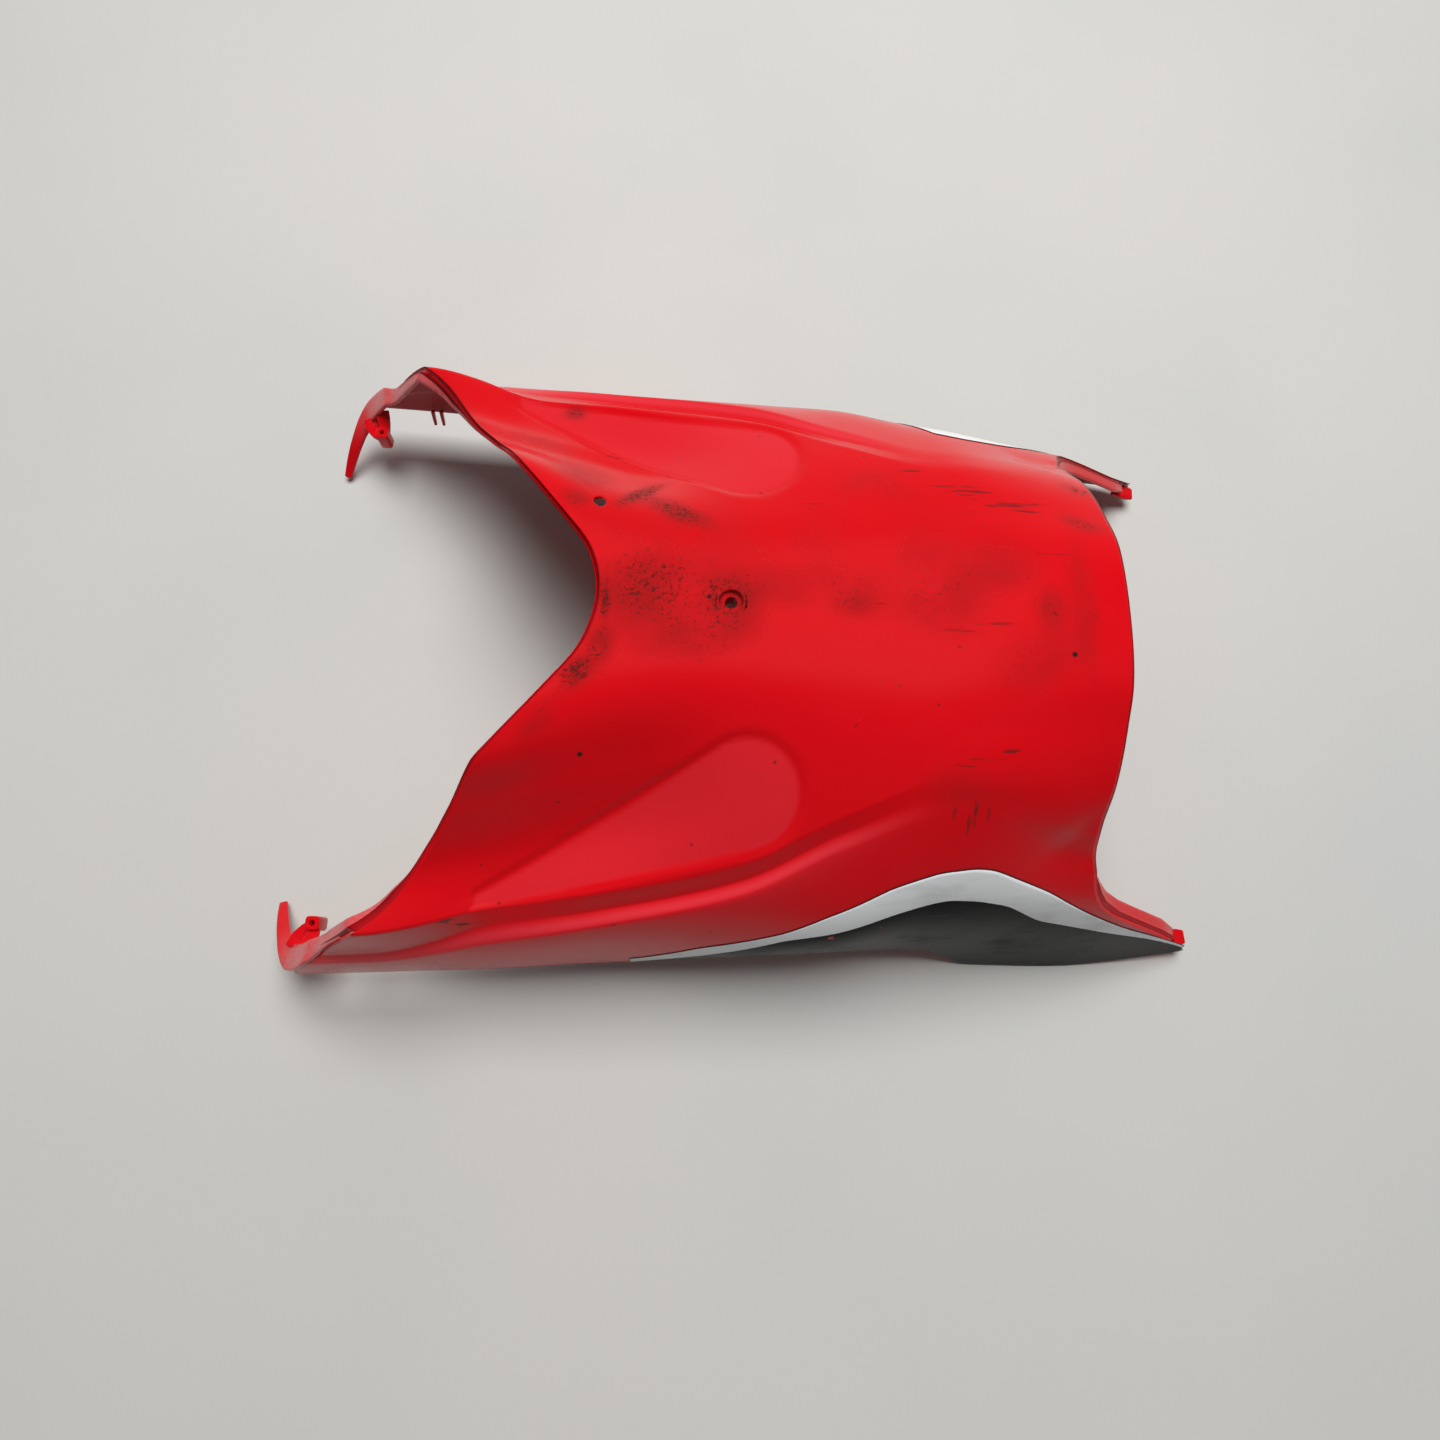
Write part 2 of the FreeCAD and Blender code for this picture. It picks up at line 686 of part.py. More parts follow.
def recess_cut():
    """Shallow teardrop taken out of each flank's outer face."""
    sketch = document.addObject("Sketcher::SketchObject", "teardrop")
    centre = FreeCAD.Vector(size("drop_place"), size("drop_offset"), 0)
    radius = size("drop_radius")
    inner = FreeCAD.Vector(-size("drop_tail_reach"), size("drop_tail_inner"), 0)
    outer = FreeCAD.Vector(-size("drop_tail_reach"), size("drop_tail_outer"), 0)
    angles = []
    for spot, side in ((inner, -1), (outer, 1)):
        away = spot - centre
        angles.append(math.atan2(away.y, away.x) - side * math.acos(radius / away.Length))
    ends = [centre + FreeCAD.Vector(math.cos(a), math.sin(a), 0) * radius for a in angles]
    circle = Part.Circle(centre, FreeCAD.Vector(0, 0, 1), radius)
    sketch.addGeometry(Part.LineSegment(inner, ends[0]), False)
    sketch.addGeometry(Part.ArcOfCircle(circle, angles[0], angles[1]), False)
    sketch.addGeometry(Part.LineSegment(ends[1], outer), False)
    sketch.addGeometry(Part.LineSegment(outer, inner), False)
    for first, second in (((0, 2), (1, 1)), ((1, 2), (2, 1))):
        sketch.addConstraint(Sketcher.Constraint("Tangent", *first, *second))
    for first, second in (((2, 2), (3, 1)), ((3, 2), (0, 1))):
        sketch.addConstraint(Sketcher.Constraint("Coincident", *first, *second))
    index = sketch.addConstraint(Sketcher.Constraint("Radius", 1, radius))
    sketch.setExpression("Constraints[%d]" % index, "sizes.drop_radius")
    hold_point(sketch, 1, 3, "X", "sizes.drop_place")
    hold_point(sketch, 1, 3, "Y", "sizes.drop_offset")
    hold_point(sketch, 0, 1, "X", "-sizes.drop_tail_reach")
    hold_point(sketch, 0, 1, "Y", "sizes.drop_tail_inner")
    hold_point(sketch, 2, 2, "X", "-sizes.drop_tail_reach")
    hold_point(sketch, 2, 2, "Y", "sizes.drop_tail_outer")
    prism = extrude("teardrop_prism", sketch, "sizes.clear_height")
    layer = skin_layer("recess_layer", -size("recess_margin"), size("recess_depth"))
    left = boolean("Common", "left_recess", layer, prism)
    right = boolean("Common", "right_recess", layer, mirror_across("right_teardrop", prism))
    return [left, right]


def hole_cuts():
    """Screw seat and bore on the belly, the hole beside it and pilot holes in the tail blocks."""
    top = "sizes.clear_height"
    cuts = [
        cylinder("screw_bore", "sizes.screw_bore_radius", top, "sizes.seat_place", "0", "0"),
        cylinder(
            "screw_seat", "sizes.seat_radius", top, "sizes.seat_place", "0",
            "sizes.waist_height - sizes.seat_depth",
        ),
        cylinder(
            "side_hole", "sizes.side_hole_radius", top,
            "sizes.side_hole_place", "sizes.side_hole_offset", "0",
        ),
    ]
    for name, sign in (("left", ""), ("right", "-")):
        cuts.append(cylinder(
            name + "_pilot_hole", "sizes.pilot_radius", "sizes.block_bottom + 2 * sizes.block_height",
            "sizes.block_place", sign + "sizes.block_offset", "0",
        ))
    return cuts


def decals(profile):
    """Printed film on each side wall, from its outline in side view down to the lower edge."""
    corners = [
        ("-sizes.decal_start_reach", "0", None),
        ("sizes.decal_end_reach", "0", None),
        ("sizes.decal_end_reach", "sizes.decal_end_height", None),
        ("sizes.decal_peak_place", "sizes.decal_peak_height", "sizes.decal_peak_radius"),
        ("-sizes.decal_start_reach", "sizes.decal_start_height", None),
    ]
    sketch = outline("decal_outline", SIDE, corners)
    layer = skin_layer("film_layer", -size("film_thickness") - size("glue_gap"), -size("glue_gap"))
    films = boolean("Common", "films", layer, profile)
    right_prism = extrude("right_decal_prism", sketch, OUTER)
    right = boolean("Common", "right_decal", films, right_prism)
    left_prism = extrude("left_decal_prism", sketch, OUTER, backwards=True)
    left = boolean("Common", "left_decal", films, left_prism)
    return [left, right]


fill_sheet()
POINTS, NORMALS = Skin().grid()

side = side_profile()
whole = boolean("Fuse", "moulded_panel", opened_shell(side), moulded_details())
panel = boolean("Cut", "underbody_panel", whole, fuse_all("cuts", recess_cut() + hole_cuts()))
parts = [panel] + decals(side)
document.recompute()

for item in document.Objects:
    if "Invalid" in item.State or "Error" in item.State:
        raise RuntimeError("%s failed: %s" % (item.Name, item.State))
for part in parts:
    if part.Shape.isNull() or not part.Shape.isValid():
        raise RuntimeError("%s has no valid shape" % part.Label)

os.makedirs("parts", exist_ok=True)
for part in parts:
    part.Shape.exportStep("parts/%s.step" % part.Label)
    print(part.Label, len(part.Shape.Solids), "solids", round(part.Shape.Volume / 1000.0, 2), "cm3")
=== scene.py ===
import bmesh
import bpy
import math
import numpy as np
from mathutils import Matrix, Vector


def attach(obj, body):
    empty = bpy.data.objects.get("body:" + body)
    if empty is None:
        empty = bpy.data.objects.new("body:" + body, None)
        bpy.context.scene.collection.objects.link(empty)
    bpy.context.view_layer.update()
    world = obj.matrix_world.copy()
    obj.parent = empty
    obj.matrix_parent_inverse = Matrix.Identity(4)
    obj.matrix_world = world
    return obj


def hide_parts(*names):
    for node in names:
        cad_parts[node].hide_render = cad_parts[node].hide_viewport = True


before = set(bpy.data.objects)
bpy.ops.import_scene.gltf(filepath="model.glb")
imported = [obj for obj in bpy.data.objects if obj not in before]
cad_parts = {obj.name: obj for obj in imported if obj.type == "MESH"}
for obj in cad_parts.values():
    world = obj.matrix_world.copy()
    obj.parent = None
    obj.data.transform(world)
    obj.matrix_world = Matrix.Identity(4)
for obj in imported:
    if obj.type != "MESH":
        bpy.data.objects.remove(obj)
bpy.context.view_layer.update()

scene = bpy.context.scene
scene.view_settings.view_transform = "Standard"

# Lengths in the tables below are millimetres, in the frame of the part

MM = 0.001
WALL = 2.8
EDGE_RADIUS = 0.8
FOLD_RADIUS = 1.2
INNER_FOLD_RADIUS = 0.3
FILM_GAP = 0.05
FILM_THICKNESS = 0.3
FLOOR_GAP = 0.02

# Half sections of the outer skin: place along X, then Y and Z of the keel and of eight knots outwards
STATIONS = (
    (-300.0, ((0, 121.5), (99, 117.5), (129, 96), (156, 77), (182, 76), (191, 53), (195.5, 48),
        (202.5, 28), (205, -20))),
    (-207.5, ((0, 153.5), (94.5, 150), (124.5, 128.5), (151.5, 109.5), (177.5, 108), (186.5, 75),
        (191.5, 69.5), (197.5, 31.5), (200.5, -20))),
    (-142.5, ((0, 158.5), (86.5, 155.5), (107.5, 134.5), (133, 112.5), (163, 103), (171.5, 93),
        (180.5, 86.5), (192.5, 50), (192.5, -20))),
    (-82.5, ((0, 159.5), (58.5, 155.5), (91, 135.5), (121, 116), (153, 109.5), (161.5, 99.5), (170, 98),
        (186.5, 55.5), (191, -20))),
    (-2.5, ((0, 161.5), (46, 158.5), (75.5, 149), (105, 137.5), (136, 124.5), (144.5, 115), (152.5, 115),
        (180.5, 73.5), (180, -20))),
    (52.5, ((0, 163.5), (46, 161), (69.5, 156), (89.5, 149.5), (110.5, 141), (119, 134), (128, 130.5),
        (171.5, 89), (182, -20))),
    (107.5, ((0, 165.5), (46, 163), (65.5, 159.5), (80, 156), (92, 152), (101, 147), (111, 140.5),
        (155, 99.5), (189, -20))),
    (201.0, ((0, 168.5), (42, 164.5), (61, 156.5), (80, 147), (98.5, 134.5), (113, 120.5), (126, 103.5),
        (148.5, 85), (193.5, -20))),
    (300.0, ((0, 150.5), (42, 146.5), (61, 139), (80, 129.5), (98.5, 118), (113, 104), (126, 87),
        (150, 51), (189, -20))),
)

# Outlines as corners with a rounding radius: lower edge, tail and front in side view, V in plan view
LOWER_EDGE = ((-276, 33, 0), (117.5, 33, 25), (147.5, 0, 22), (222, 0, 90), (299.5, 8.5, 0))
TAIL_EDGE = ((-268.5, 33, 0), (-268.5, 42, 6), (-257, 57, 40), (-202, 130, 0))
FRONT_EDGE = (
    (299.5, 0, 0), (299.5, 12, 2), (285.5, 19, 1.5), (285.5, 23, 1.5), (193.4, 93, 70), (203.9, 190, 0),
)
VEE_EDGE = ((-280, 173, 0), (-209.6, 173, 20), (-66.9, 0, 63), (-209.6, -173, 20))

# Rows of the skin's grid in each span between knots, and its columns along X
SPAN_ROWS = (20, 12, 13, 14, 11, 9, 17)
COLUMNS = 180

# By distance from the mid-plane, how far the skin's edge stands back from the V outline and bulges into the
# opening: the right side is bent out of true, with a kink. Then steps round the V's apex, and points in each
VEE_SETBACK = ((0, 100, 130, 150, 172), (1.2, 1.2, 2.2, 4.5, 7.0))
LEFT_BULGE = ((0, 12, 30), (1.5, 0.8, 0.0))
RIGHT_BULGE = ((0, 16, 40, 65, 82, 90, 97, 106, 122), (1.5, 2.6, 3.0, 2.6, 3.2, 4.4, 3.4, 2.0, 0.0))
VEE_STEPS = 60
VEE_POINTS = 12

# The flange along the V and the raked tail, by grid row: turned-in width, and radius of its fold
FLANGE_WIDTH = (
    (0, 1.5, 2.5, 3.2, 3.8, 4.2, 4.6, 5.0, 5.6, 6.9),
    (0.5, 0.8, 2.4, 4.8, 7.5, 8.5, 8.0, 5.0, 1.0, 0.5),
)
FLANGE_FOLD = ((0, 6.4, 7.0), (1.2, 1.2, 2.4))
FLANGE_ROWS = (2.5, 6.95)

# Spans of a half section, knot where the side wall starts, weight of the knots' distances, steps for normals
# along X and u, and samples for searches
SPANS = 8
WALL_KNOT = 6
KNOT_POWER = 0.7
NORMAL_STEPS = (0.4, 0.015)
WALL_SAMPLES = 81
PLAN_SAMPLES = 321


def cubic(start, end, slope_start, slope_end, span, share):
    """Cubic between two values with given end slopes."""
    left = 1.0 - share
    ends = (1 + 2 * share) * left * left * start + share * share * (3 - 2 * share) * end
    return ends + span * share * left * (left * slope_start - share * slope_end)


def smooth_step(low, high, value):
    """Smooth rise from 0 to 1 between two values."""
    share = np.clip((value - low) / (high - low), 0, 1)
    return share * share * (3 - 2 * share)


def unit(vectors):
    """Vectors brought to length 1."""
    return vectors / np.linalg.norm(vectors, axis=-1, keepdims=True)


def evened(line, passes):
    """Line smoothed between its ends, in place."""
    for _ in range(passes):
        line[1:-1] = (line[:-2] + 2 * line[1:-1] + line[2:]) / 4
    return line


class Skin:
    """Outer skin: smooth curves along X through the stations, and across each section."""

    def __init__(self):
        self.places = np.array([place for place, knots in STATIONS])
        self.values = np.array([knots for place, knots in STATIONS], float)
        self.slopes = self.level_slopes()

    def level_slopes(self):
        """Slopes at the stations for curves that never swing past their values."""
        spans = np.diff(self.places)[:, None, None]
        rates = np.diff(self.values, axis=0) / spans
        first = 2 * spans[1:] + spans[:-1]
        second = spans[1:] + 2 * spans[:-1]
        same = rates[:-1] * rates[1:] > 0
        before = np.where(same, rates[:-1], 1.0)
        after = np.where(same, rates[1:], 1.0)
        inner = np.where(same, (first + second) / (first / before + second / after), 0.0)
        return np.concatenate([rates[:1], inner, rates[-1:]])

    def knots(self, x):
        """Knots of the section at each X, with the mirrored first knot before the keel."""
        index = np.clip(np.searchsorted(self.places, x, side="right") - 1, 0, len(self.places) - 2)
        span = (self.places[index + 1] - self.places[index])[:, None, None]
        share = (x - self.places[index])[:, None, None] / span
        low, high = self.values[index], self.values[index + 1]
        half = cubic(low, high, self.slopes[index], self.slopes[index + 1], span, share)
        return np.concatenate([half[:, 1:2] * (-1, 1), half], axis=1)

    def at(self, x, u):
        """Skin points; u counts knots from the keel and is negative on the right side."""
        x, u = np.broadcast_arrays(np.asarray(x, float), np.asarray(u, float))
        shape = x.shape
        x, u = x.ravel(), u.ravel()
        knots = self.knots(x)
        steps = np.linalg.norm(np.diff(knots, axis=1), axis=2) ** KNOT_POWER
        rates = np.diff(knots, axis=1) / steps[..., None]
        near, far = steps[:, :-1, None], steps[:, 1:, None]
        inner = (rates[:, :-1] * far + rates[:, 1:] * near) / (near + far)
        sharp = fold_sharpness(x)
        arriving = inner + (rates[:, :-1] - inner) * sharp
        leaving = inner + (rates[:, 1:] - inner) * sharp
        first, last = rates[:, :1], rates[:, -1:]
        arriving = np.concatenate([first, arriving, last], axis=1)
        leaving = np.concatenate([first, leaving, last], axis=1)
        index = np.clip(np.abs(u).astype(int), 0, SPANS - 1)
        share = (np.abs(u) - index)[:, None]
        row = np.arange(len(x))
        span = steps[row, index + 1][:, None]
        ends = knots[row, index + 1], knots[row, index + 2]
        flat = cubic(*ends, leaving[row, index + 1], arriving[row, index + 2], span, share)
        side = np.where(u < 0, -1.0, 1.0)
        return np.stack([x, flat[:, 0] * side, flat[:, 1]], axis=1).reshape(shape + (3,))

    def normals(self, x, u):
        """Outward unit normals."""
        along = self.at(x + NORMAL_STEPS[0], u) - self.at(x - NORMAL_STEPS[0], u)
        across = self.at(x, u + NORMAL_STEPS[1]) - self.at(x, u - NORMAL_STEPS[1])
        return unit(np.cross(along, across))

    def u_at_height(self, x, height):
        """Side-wall u where the skin is at a height, for each X."""
        steps = np.linspace(WALL_KNOT, SPANS, WALL_SAMPLES)
        heights = self.at(x[:, None], steps[None, :])[..., 2]
        return np.array([np.interp(-z, -row, steps) for z, row in zip(height, heights)])

    def height_at(self, x, y):
        """Height of the skin over each point of the plan."""
        steps = np.linspace(0, SPANS, PLAN_SAMPLES)
        points = self.at(np.asarray(x)[:, None], steps[None, :])
        return np.array([np.interp(abs(b), row[:, 1], row[:, 2]) for b, row in zip(y, points)])


# Folds along the side: how sharp the skin turns at the knots of the ridge, and where along X
FOLD_KNOTS = {4: 0.85, 5: 0.85, 6: 0.45}
FOLD_ENDS = (-290, -230, 60, 120)


def fold_sharpness(x):
    """Sharpness of the skin's fold at each knot from the keel outwards."""
    inside = smooth_step(*FOLD_ENDS[:2], x) * (1 - smooth_step(*FOLD_ENDS[2:], x))
    return np.stack([FOLD_KNOTS.get(knot, 0.0) * inside for knot in range(SPANS)], axis=1)[..., None]


SKIN = Skin()


def rounded_path(corners, steps=14):
    """Points along straight sides whose corners are rounded."""
    spots = np.array([corner[:2] for corner in corners], float)
    path = [spots[0]]
    for i in range(1, len(corners) - 1):
        radius = corners[i][2]
        if not radius:
            path.append(spots[i])
            continue
        before = unit(spots[i - 1] - spots[i])
        after = unit(spots[i + 1] - spots[i])
        half_angle = math.acos(np.clip(before @ after, -1, 1)) / 2
        centre = spots[i] + unit(before + after) * radius / math.sin(half_angle)
        reach = radius / math.tan(half_angle)
        start = spots[i] + before * reach - centre
        end = spots[i] + after * reach - centre
        turn = math.pi - 2 * half_angle
        for step in range(steps + 1):
            share = step / steps
            blend = math.sin((1 - share) * turn) * start + math.sin(share * turn) * end
            path.append(centre + blend / math.sin(turn))
    path.append(spots[-1])
    return np.array(path)


def inset(path, distance):
    """Path moved to its left by a distance."""
    along = unit(np.gradient(path, axis=0))
    return path + np.stack([-along[:, 1], along[:, 0]], axis=1) * distance


def function_of(path, column):
    """Piecewise straight function from one column of a path to the other."""
    path = path[np.argsort(path[:, column], kind="stable")]
    return lambda value: np.interp(value, path[:, column], path[:, 1 - column])


lower_height = function_of(inset(rounded_path(LOWER_EDGE), EDGE_RADIUS), 0)
tail_place = function_of(inset(rounded_path(TAIL_EDGE), -FOLD_RADIUS), 1)
front_place = function_of(inset(rounded_path(FRONT_EDGE), EDGE_RADIUS), 1)


def vee_edge(bulge):
    """Apex of the V, and its half width at each X, for a side with a given bulge."""
    outline = rounded_path(VEE_EDGE, VEE_STEPS)
    pieces = [np.linspace(a, b, VEE_POINTS, endpoint=False) for a, b in zip(outline[:-1], outline[1:])]
    outline = np.concatenate(pieces)
    across = np.abs(outline[:, 1])
    outline = inset(outline, (np.interp(across, *VEE_SETBACK) - np.interp(across, *bulge))[:, None])
    outline = outline[: np.argmax(outline[:, 0]) + 1]
    return outline[-1, 0], function_of(outline, 0)


VEE_EDGES = {1: vee_edge(LEFT_BULGE), -1: vee_edge(RIGHT_BULGE)}

# Fine places along X, where the rows of the grid are tried against the edges
FINE_STEP = 0.25
FINE = np.arange(STATIONS[0][0], STATIONS[-1][0] + FINE_STEP / 2, FINE_STEP)
FINE_LOW = SKIN.u_at_height(FINE, lower_height(FINE))

# Rounding of a row's start where the V and the tail meet, and bounds of its start and end
END_SOFTNESS = 6.5
FAR_BACK = -400.0
FRONT_HALF = 150


def skin_u(row, x):
    """Skin coordinate of a grid row: rows 6 to 7 run out to the lower edge."""
    low = np.interp(x, FINE, FINE_LOW)
    return np.where(row <= WALL_KNOT, row, WALL_KNOT + (row - WALL_KNOT) * (low - WALL_KNOT))


def crossing(values, index):
    """Place where sampled values pass zero between one sample and the next."""
    share = values[index] / (values[index] - values[index + 1])
    return FINE[index] + share * FINE_STEP


def row_ends(row, side):
    """First and last X of a grid row, between the V or the tail and the front edge."""
    apex, vee_width = VEE_EDGES[side]
    points = SKIN.at(FINE, skin_u(np.full(len(FINE), row), FINE))
    starts = []
    from_vee = np.where(FINE < apex, points[:, 1] - vee_width(FINE), 1.0)
    from_tail = FINE - tail_place(points[:, 2])
    for margin in (from_vee, from_tail):
        outside = np.where(margin < 0)[0]
        starts.append(crossing(margin, outside[-1]) if len(outside) else FAR_BACK)
    top = max(starts)
    start = top + END_SOFTNESS * math.log(sum(math.exp((s - top) / END_SOFTNESS) for s in starts))
    to_front = front_place(points[:, 2]) - FINE
    past = np.where((to_front < 0) & (FINE > FRONT_HALF))[0]
    return start, crossing(to_front, past[0] - 1)


# Grid rows from the keel to the lower edge
SPAN_STEPS = [span + np.arange(1, count + 1) / count for span, count in enumerate(SPAN_ROWS)]
ROWS = np.concatenate([[0.0]] + SPAN_STEPS)

# Rows of the horn's crest, and passes of smoothing along the rim
CREST_ROWS = (3.0, 5.6)
RIM_PASSES = 60


def settled_ends(side):
    """Ends of all rows, with the rim rounded over the crest of the horn."""
    ends = np.array([row_ends(row, side) for row in ROWS])
    crest = np.where((ROWS > CREST_ROWS[0]) & (ROWS < CREST_ROWS[1]))[0]
    evened(ends[crest[0] - 1:crest[-1] + 2, 0], RIM_PASSES)
    return ends


LEFT_ENDS = settled_ends(1)
RIGHT_ENDS = settled_ends(-1)


def whole_grid():
    """X and signed u of every grid point, rows from the right lower edge to the left one."""
    share = np.linspace(0, 1, COLUMNS + 1)
    rows = np.concatenate([-ROWS[:0:-1], ROWS])
    ends = np.concatenate([RIGHT_ENDS[:0:-1], LEFT_ENDS])
    x = ends[:, :1] + (ends[:, 1:] - ends[:, :1]) * share
    side = np.where(rows < 0, -1.0, 1.0)[:, None]
    u = np.stack([skin_u(np.full(len(line), abs(row)), line) for row, line in zip(rows, x)]) * side
    return rows, x, u


def placed(name, data):
    """New object in the scene."""
    thing = bpy.data.objects.new(name, data)
    scene.collection.objects.link(thing)
    return thing


class Builder:
    """Vertices and faces of one mesh."""

    def __init__(self):
        self.points = []
        self.faces = []
        self.marks = {}
        self.count = 0

    def add(self, points):
        """Add points and return their indices in the same arrangement."""
        points = np.asarray(points, float)
        flat = points.reshape(-1, 3)
        index = np.arange(self.count, self.count + len(flat)).reshape(points.shape[:-1])
        self.points.append(flat)
        self.count += len(flat)
        return index

    def sheet(self, index, flip=False, chosen=...):
        """Quads over a grid of indices, or over the chosen cells of it."""
        quads = np.stack([index[:-1, :-1], index[1:, :-1], index[1:, 1:], index[:-1, 1:]], axis=-1)
        quads = quads[chosen].reshape(-1, 4)
        self.faces.extend((quads[:, ::-1] if flip else quads).tolist())

    def bands(self, rings, flip=False):
        """Quads between closed rings of indices, one ring after the other."""
        index = np.array([np.append(ring, ring[0]) for ring in rings])
        self.sheet(index, flip)

    def mark(self, label, index, values):
        """Store amounts at indices, with 0 elsewhere."""
        self.marks.setdefault(label, np.zeros(self.count))[index] = values

    def make(self, name, material):
        """Blender object with smooth faces and a material."""
        mesh = bpy.data.meshes.new(name)
        mesh.from_pydata((np.concatenate(self.points) * MM).tolist(), [], self.faces)
        mesh.validate()
        work = bmesh.new()
        work.from_mesh(mesh)
        bmesh.ops.recalc_face_normals(work, faces=work.faces[:])
        work.to_mesh(mesh)
        work.free()
        mesh.polygons.foreach_set("use_smooth", [True] * len(mesh.polygons))
        mesh.materials.append(material)
        for label, values in self.marks.items():
            data = mesh.attributes.new(label, "FLOAT", "POINT").data
            data.foreach_set("value", np.asarray(values, np.float32))
        return placed(name, mesh)


def arc(radius, angles):
    """Points of an arc that starts straight ahead."""
    return np.stack([radius * np.sin(angles), radius * (1 - np.cos(angles))], axis=1)


def edge_profile(turn, width, fold, plain):
    """Section of an edge, outwards and inwards: a turned-in flange or a plain round."""
    steps_fold, steps_strip, steps_end = 6, 3, 6
    angles = np.linspace(0, turn, steps_fold + 1)
    shares = np.linspace(0, 1, steps_strip + 1)
    heading = np.array((math.cos(turn), math.sin(turn)))
    inward = np.array((-heading[1], heading[0]))
    outer = arc(fold, angles)
    corner = outer[-1]
    strip = corner + heading * width * shares[1:, None]
    round_end = np.linspace(0, math.pi, steps_end + 1)[1:-1, None]
    end = strip[-1] + (inward * (1 - np.cos(round_end)) + heading * np.sin(round_end)) * WALL / 2
    small = max(fold - WALL, INNER_FOLD_RADIUS)
    centre = ((WALL + small) * heading[0] - corner @ inward - WALL - small) / heading[1]
    inner = ((centre, WALL) + arc(small, angles))[::-1]
    back = strip[-1] + inward * WALL
    inner_strip = back + (inner[0] - back) * shares[:-1, None]
    flange = np.concatenate([outer, strip, end, inner_strip, inner])
    rest = len(flange) - len(outer)
    angles = np.concatenate([np.linspace(0, math.pi / 2, len(outer)), np.linspace(math.pi / 2, 0, rest)])
    simple = arc(EDGE_RADIUS, angles)
    simple[len(outer):, 1] = WALL - simple[len(outer):, 1]
    return flange * (1 - plain) + simple * plain


def hole_loop(points, centre, reach):
    """Block of quads to leave out around a hole, and the loop of grid places around it."""
    away = np.hypot(points[..., 0] - centre[0], points[..., 1] - centre[1])
    r, c = np.unravel_index(np.argmin(away), away.shape)
    gone = np.zeros((points.shape[0] - 1, points.shape[1] - 1), bool)
    gone[r - reach:r + reach, c - reach:c + reach] = True
    steps = range(-reach, reach)
    loop = [(r - reach, c + step) for step in steps] + [(r + step, c + reach) for step in steps]
    loop += [(r + reach, c - step) for step in steps] + [(r - step, c - reach) for step in steps]
    return gone, loop


def loop_angles(points, order, centre):
    """Order of a hole's loop anticlockwise, with evenly growing angles."""
    turns = np.unwrap([math.atan2(points[s][1] - centre[1], points[s][0] - centre[0]) for s in order])
    if turns[-1] < turns[0]:
        order, turns = order[::-1], turns[::-1]
    return order, np.maximum.accumulate(turns)


def ring_at(angles, centre, radius, height):
    """Points of a level ring."""
    x = centre[0] + radius * np.cos(angles)
    y = centre[1] + radius * np.sin(angles)
    return np.stack([x, y, np.broadcast_to(height, angles.shape)], axis=1)


def ring_on_skin(angles, centre, radius, depth):
    """Points of a ring that follows the skin at a depth below it."""
    points = ring_at(angles, centre, radius, 0.0)
    points[:, 2] = SKIN.height_at(points[:, 0], points[:, 1]) - depth
    return points


# Rings of the screw seat and the plain hole: radius and depth below the skin, in the bore radius and height
SEAT_CENTRE = (-14.0, 0.0)
SEAT_FLOOR = 158.5
BOSS_BOTTOM = 149.5
SEAT_TOP = ((9.0, 0), (7.4, 0), (6.8, 0.12), (6.5, 0.5))
SEAT_BORE = (
    (6.4, SEAT_FLOOR + 0.4), (6.0, SEAT_FLOOR), (3.8, SEAT_FLOOR), (3.4, SEAT_FLOOR - 0.12),
    (3.3, SEAT_FLOOR - 0.5), (3.3, BOSS_BOTTOM + 0.4), (3.6, BOSS_BOTTOM), (9.0, BOSS_BOTTOM),
    (9.4, BOSS_BOTTOM + 0.3), (9.5, BOSS_BOTTOM + 0.8),
)
SEAT_UNDER = ((9.6, WALL + 0.5), (10.4, WALL + 0.02))
SIDE_HOLE_CENTRE = (-88.6, 59.5)
SIDE_HOLE = (
    (5.6, 0), (4.5, 0), (4.0, 0.1), (3.7, 0.5), (3.7, WALL - 0.5), (4.0, WALL - 0.1), (5.0, WALL),
)


def hole_rings(angles, centre, top, bore, under):
    """Rings of a hole, from the outer skin down the bore and back up to the inner skin."""
    rings = [ring_on_skin(angles, centre, *step) for step in top]
    rings += [ring_at(angles, centre, *step) for step in bore]
    return rings + [ring_on_skin(angles, centre, *step) for step in under]


# Centre of each hole, grid cells that are left out on each side of it, and its rings
HOLES = ((SEAT_CENTRE, 5, SEAT_TOP, SEAT_BORE, SEAT_UNDER), (SIDE_HOLE_CENTRE, 4, SIDE_HOLE, (), ()))

# Teardrop recess of each flank: a circle with two straight sides that meet a blunt tail, with a softer step
# at the head, and a crease along its inner side that fades at both ends
DROP_CENTRE = np.array((-3.4, 101.0))
DROP_RADIUS = 29.5
DROP_TAIL = np.array(((-151.4, 155.0), (-151.4, 163.7)))
DROP_DEPTH = 1.5
DROP_SOFTNESS = (1.4, 3.6)
DROP_HEAD = (-40, 15)
DROP_INSIDE = 0.4
CREASE_DEPTH = 4.2
CREASE_REACH = (50.0, 42.0)
CREASE_ROUND = 1.4
CREASE_START = (-30, 15)
CREASE_END = (-50, 15)


def drop_sides():
    """Tangent points of the two straight sides on the circle."""
    sides = []
    for spot, way in zip(DROP_TAIL, (-1, 1)):
        away = spot - DROP_CENTRE
        angle = math.atan2(away[1], away[0]) - way * math.acos(DROP_RADIUS / np.linalg.norm(away))
        sides.append(DROP_CENTRE + DROP_RADIUS * np.array((math.cos(angle), math.sin(angle))))
    return sides


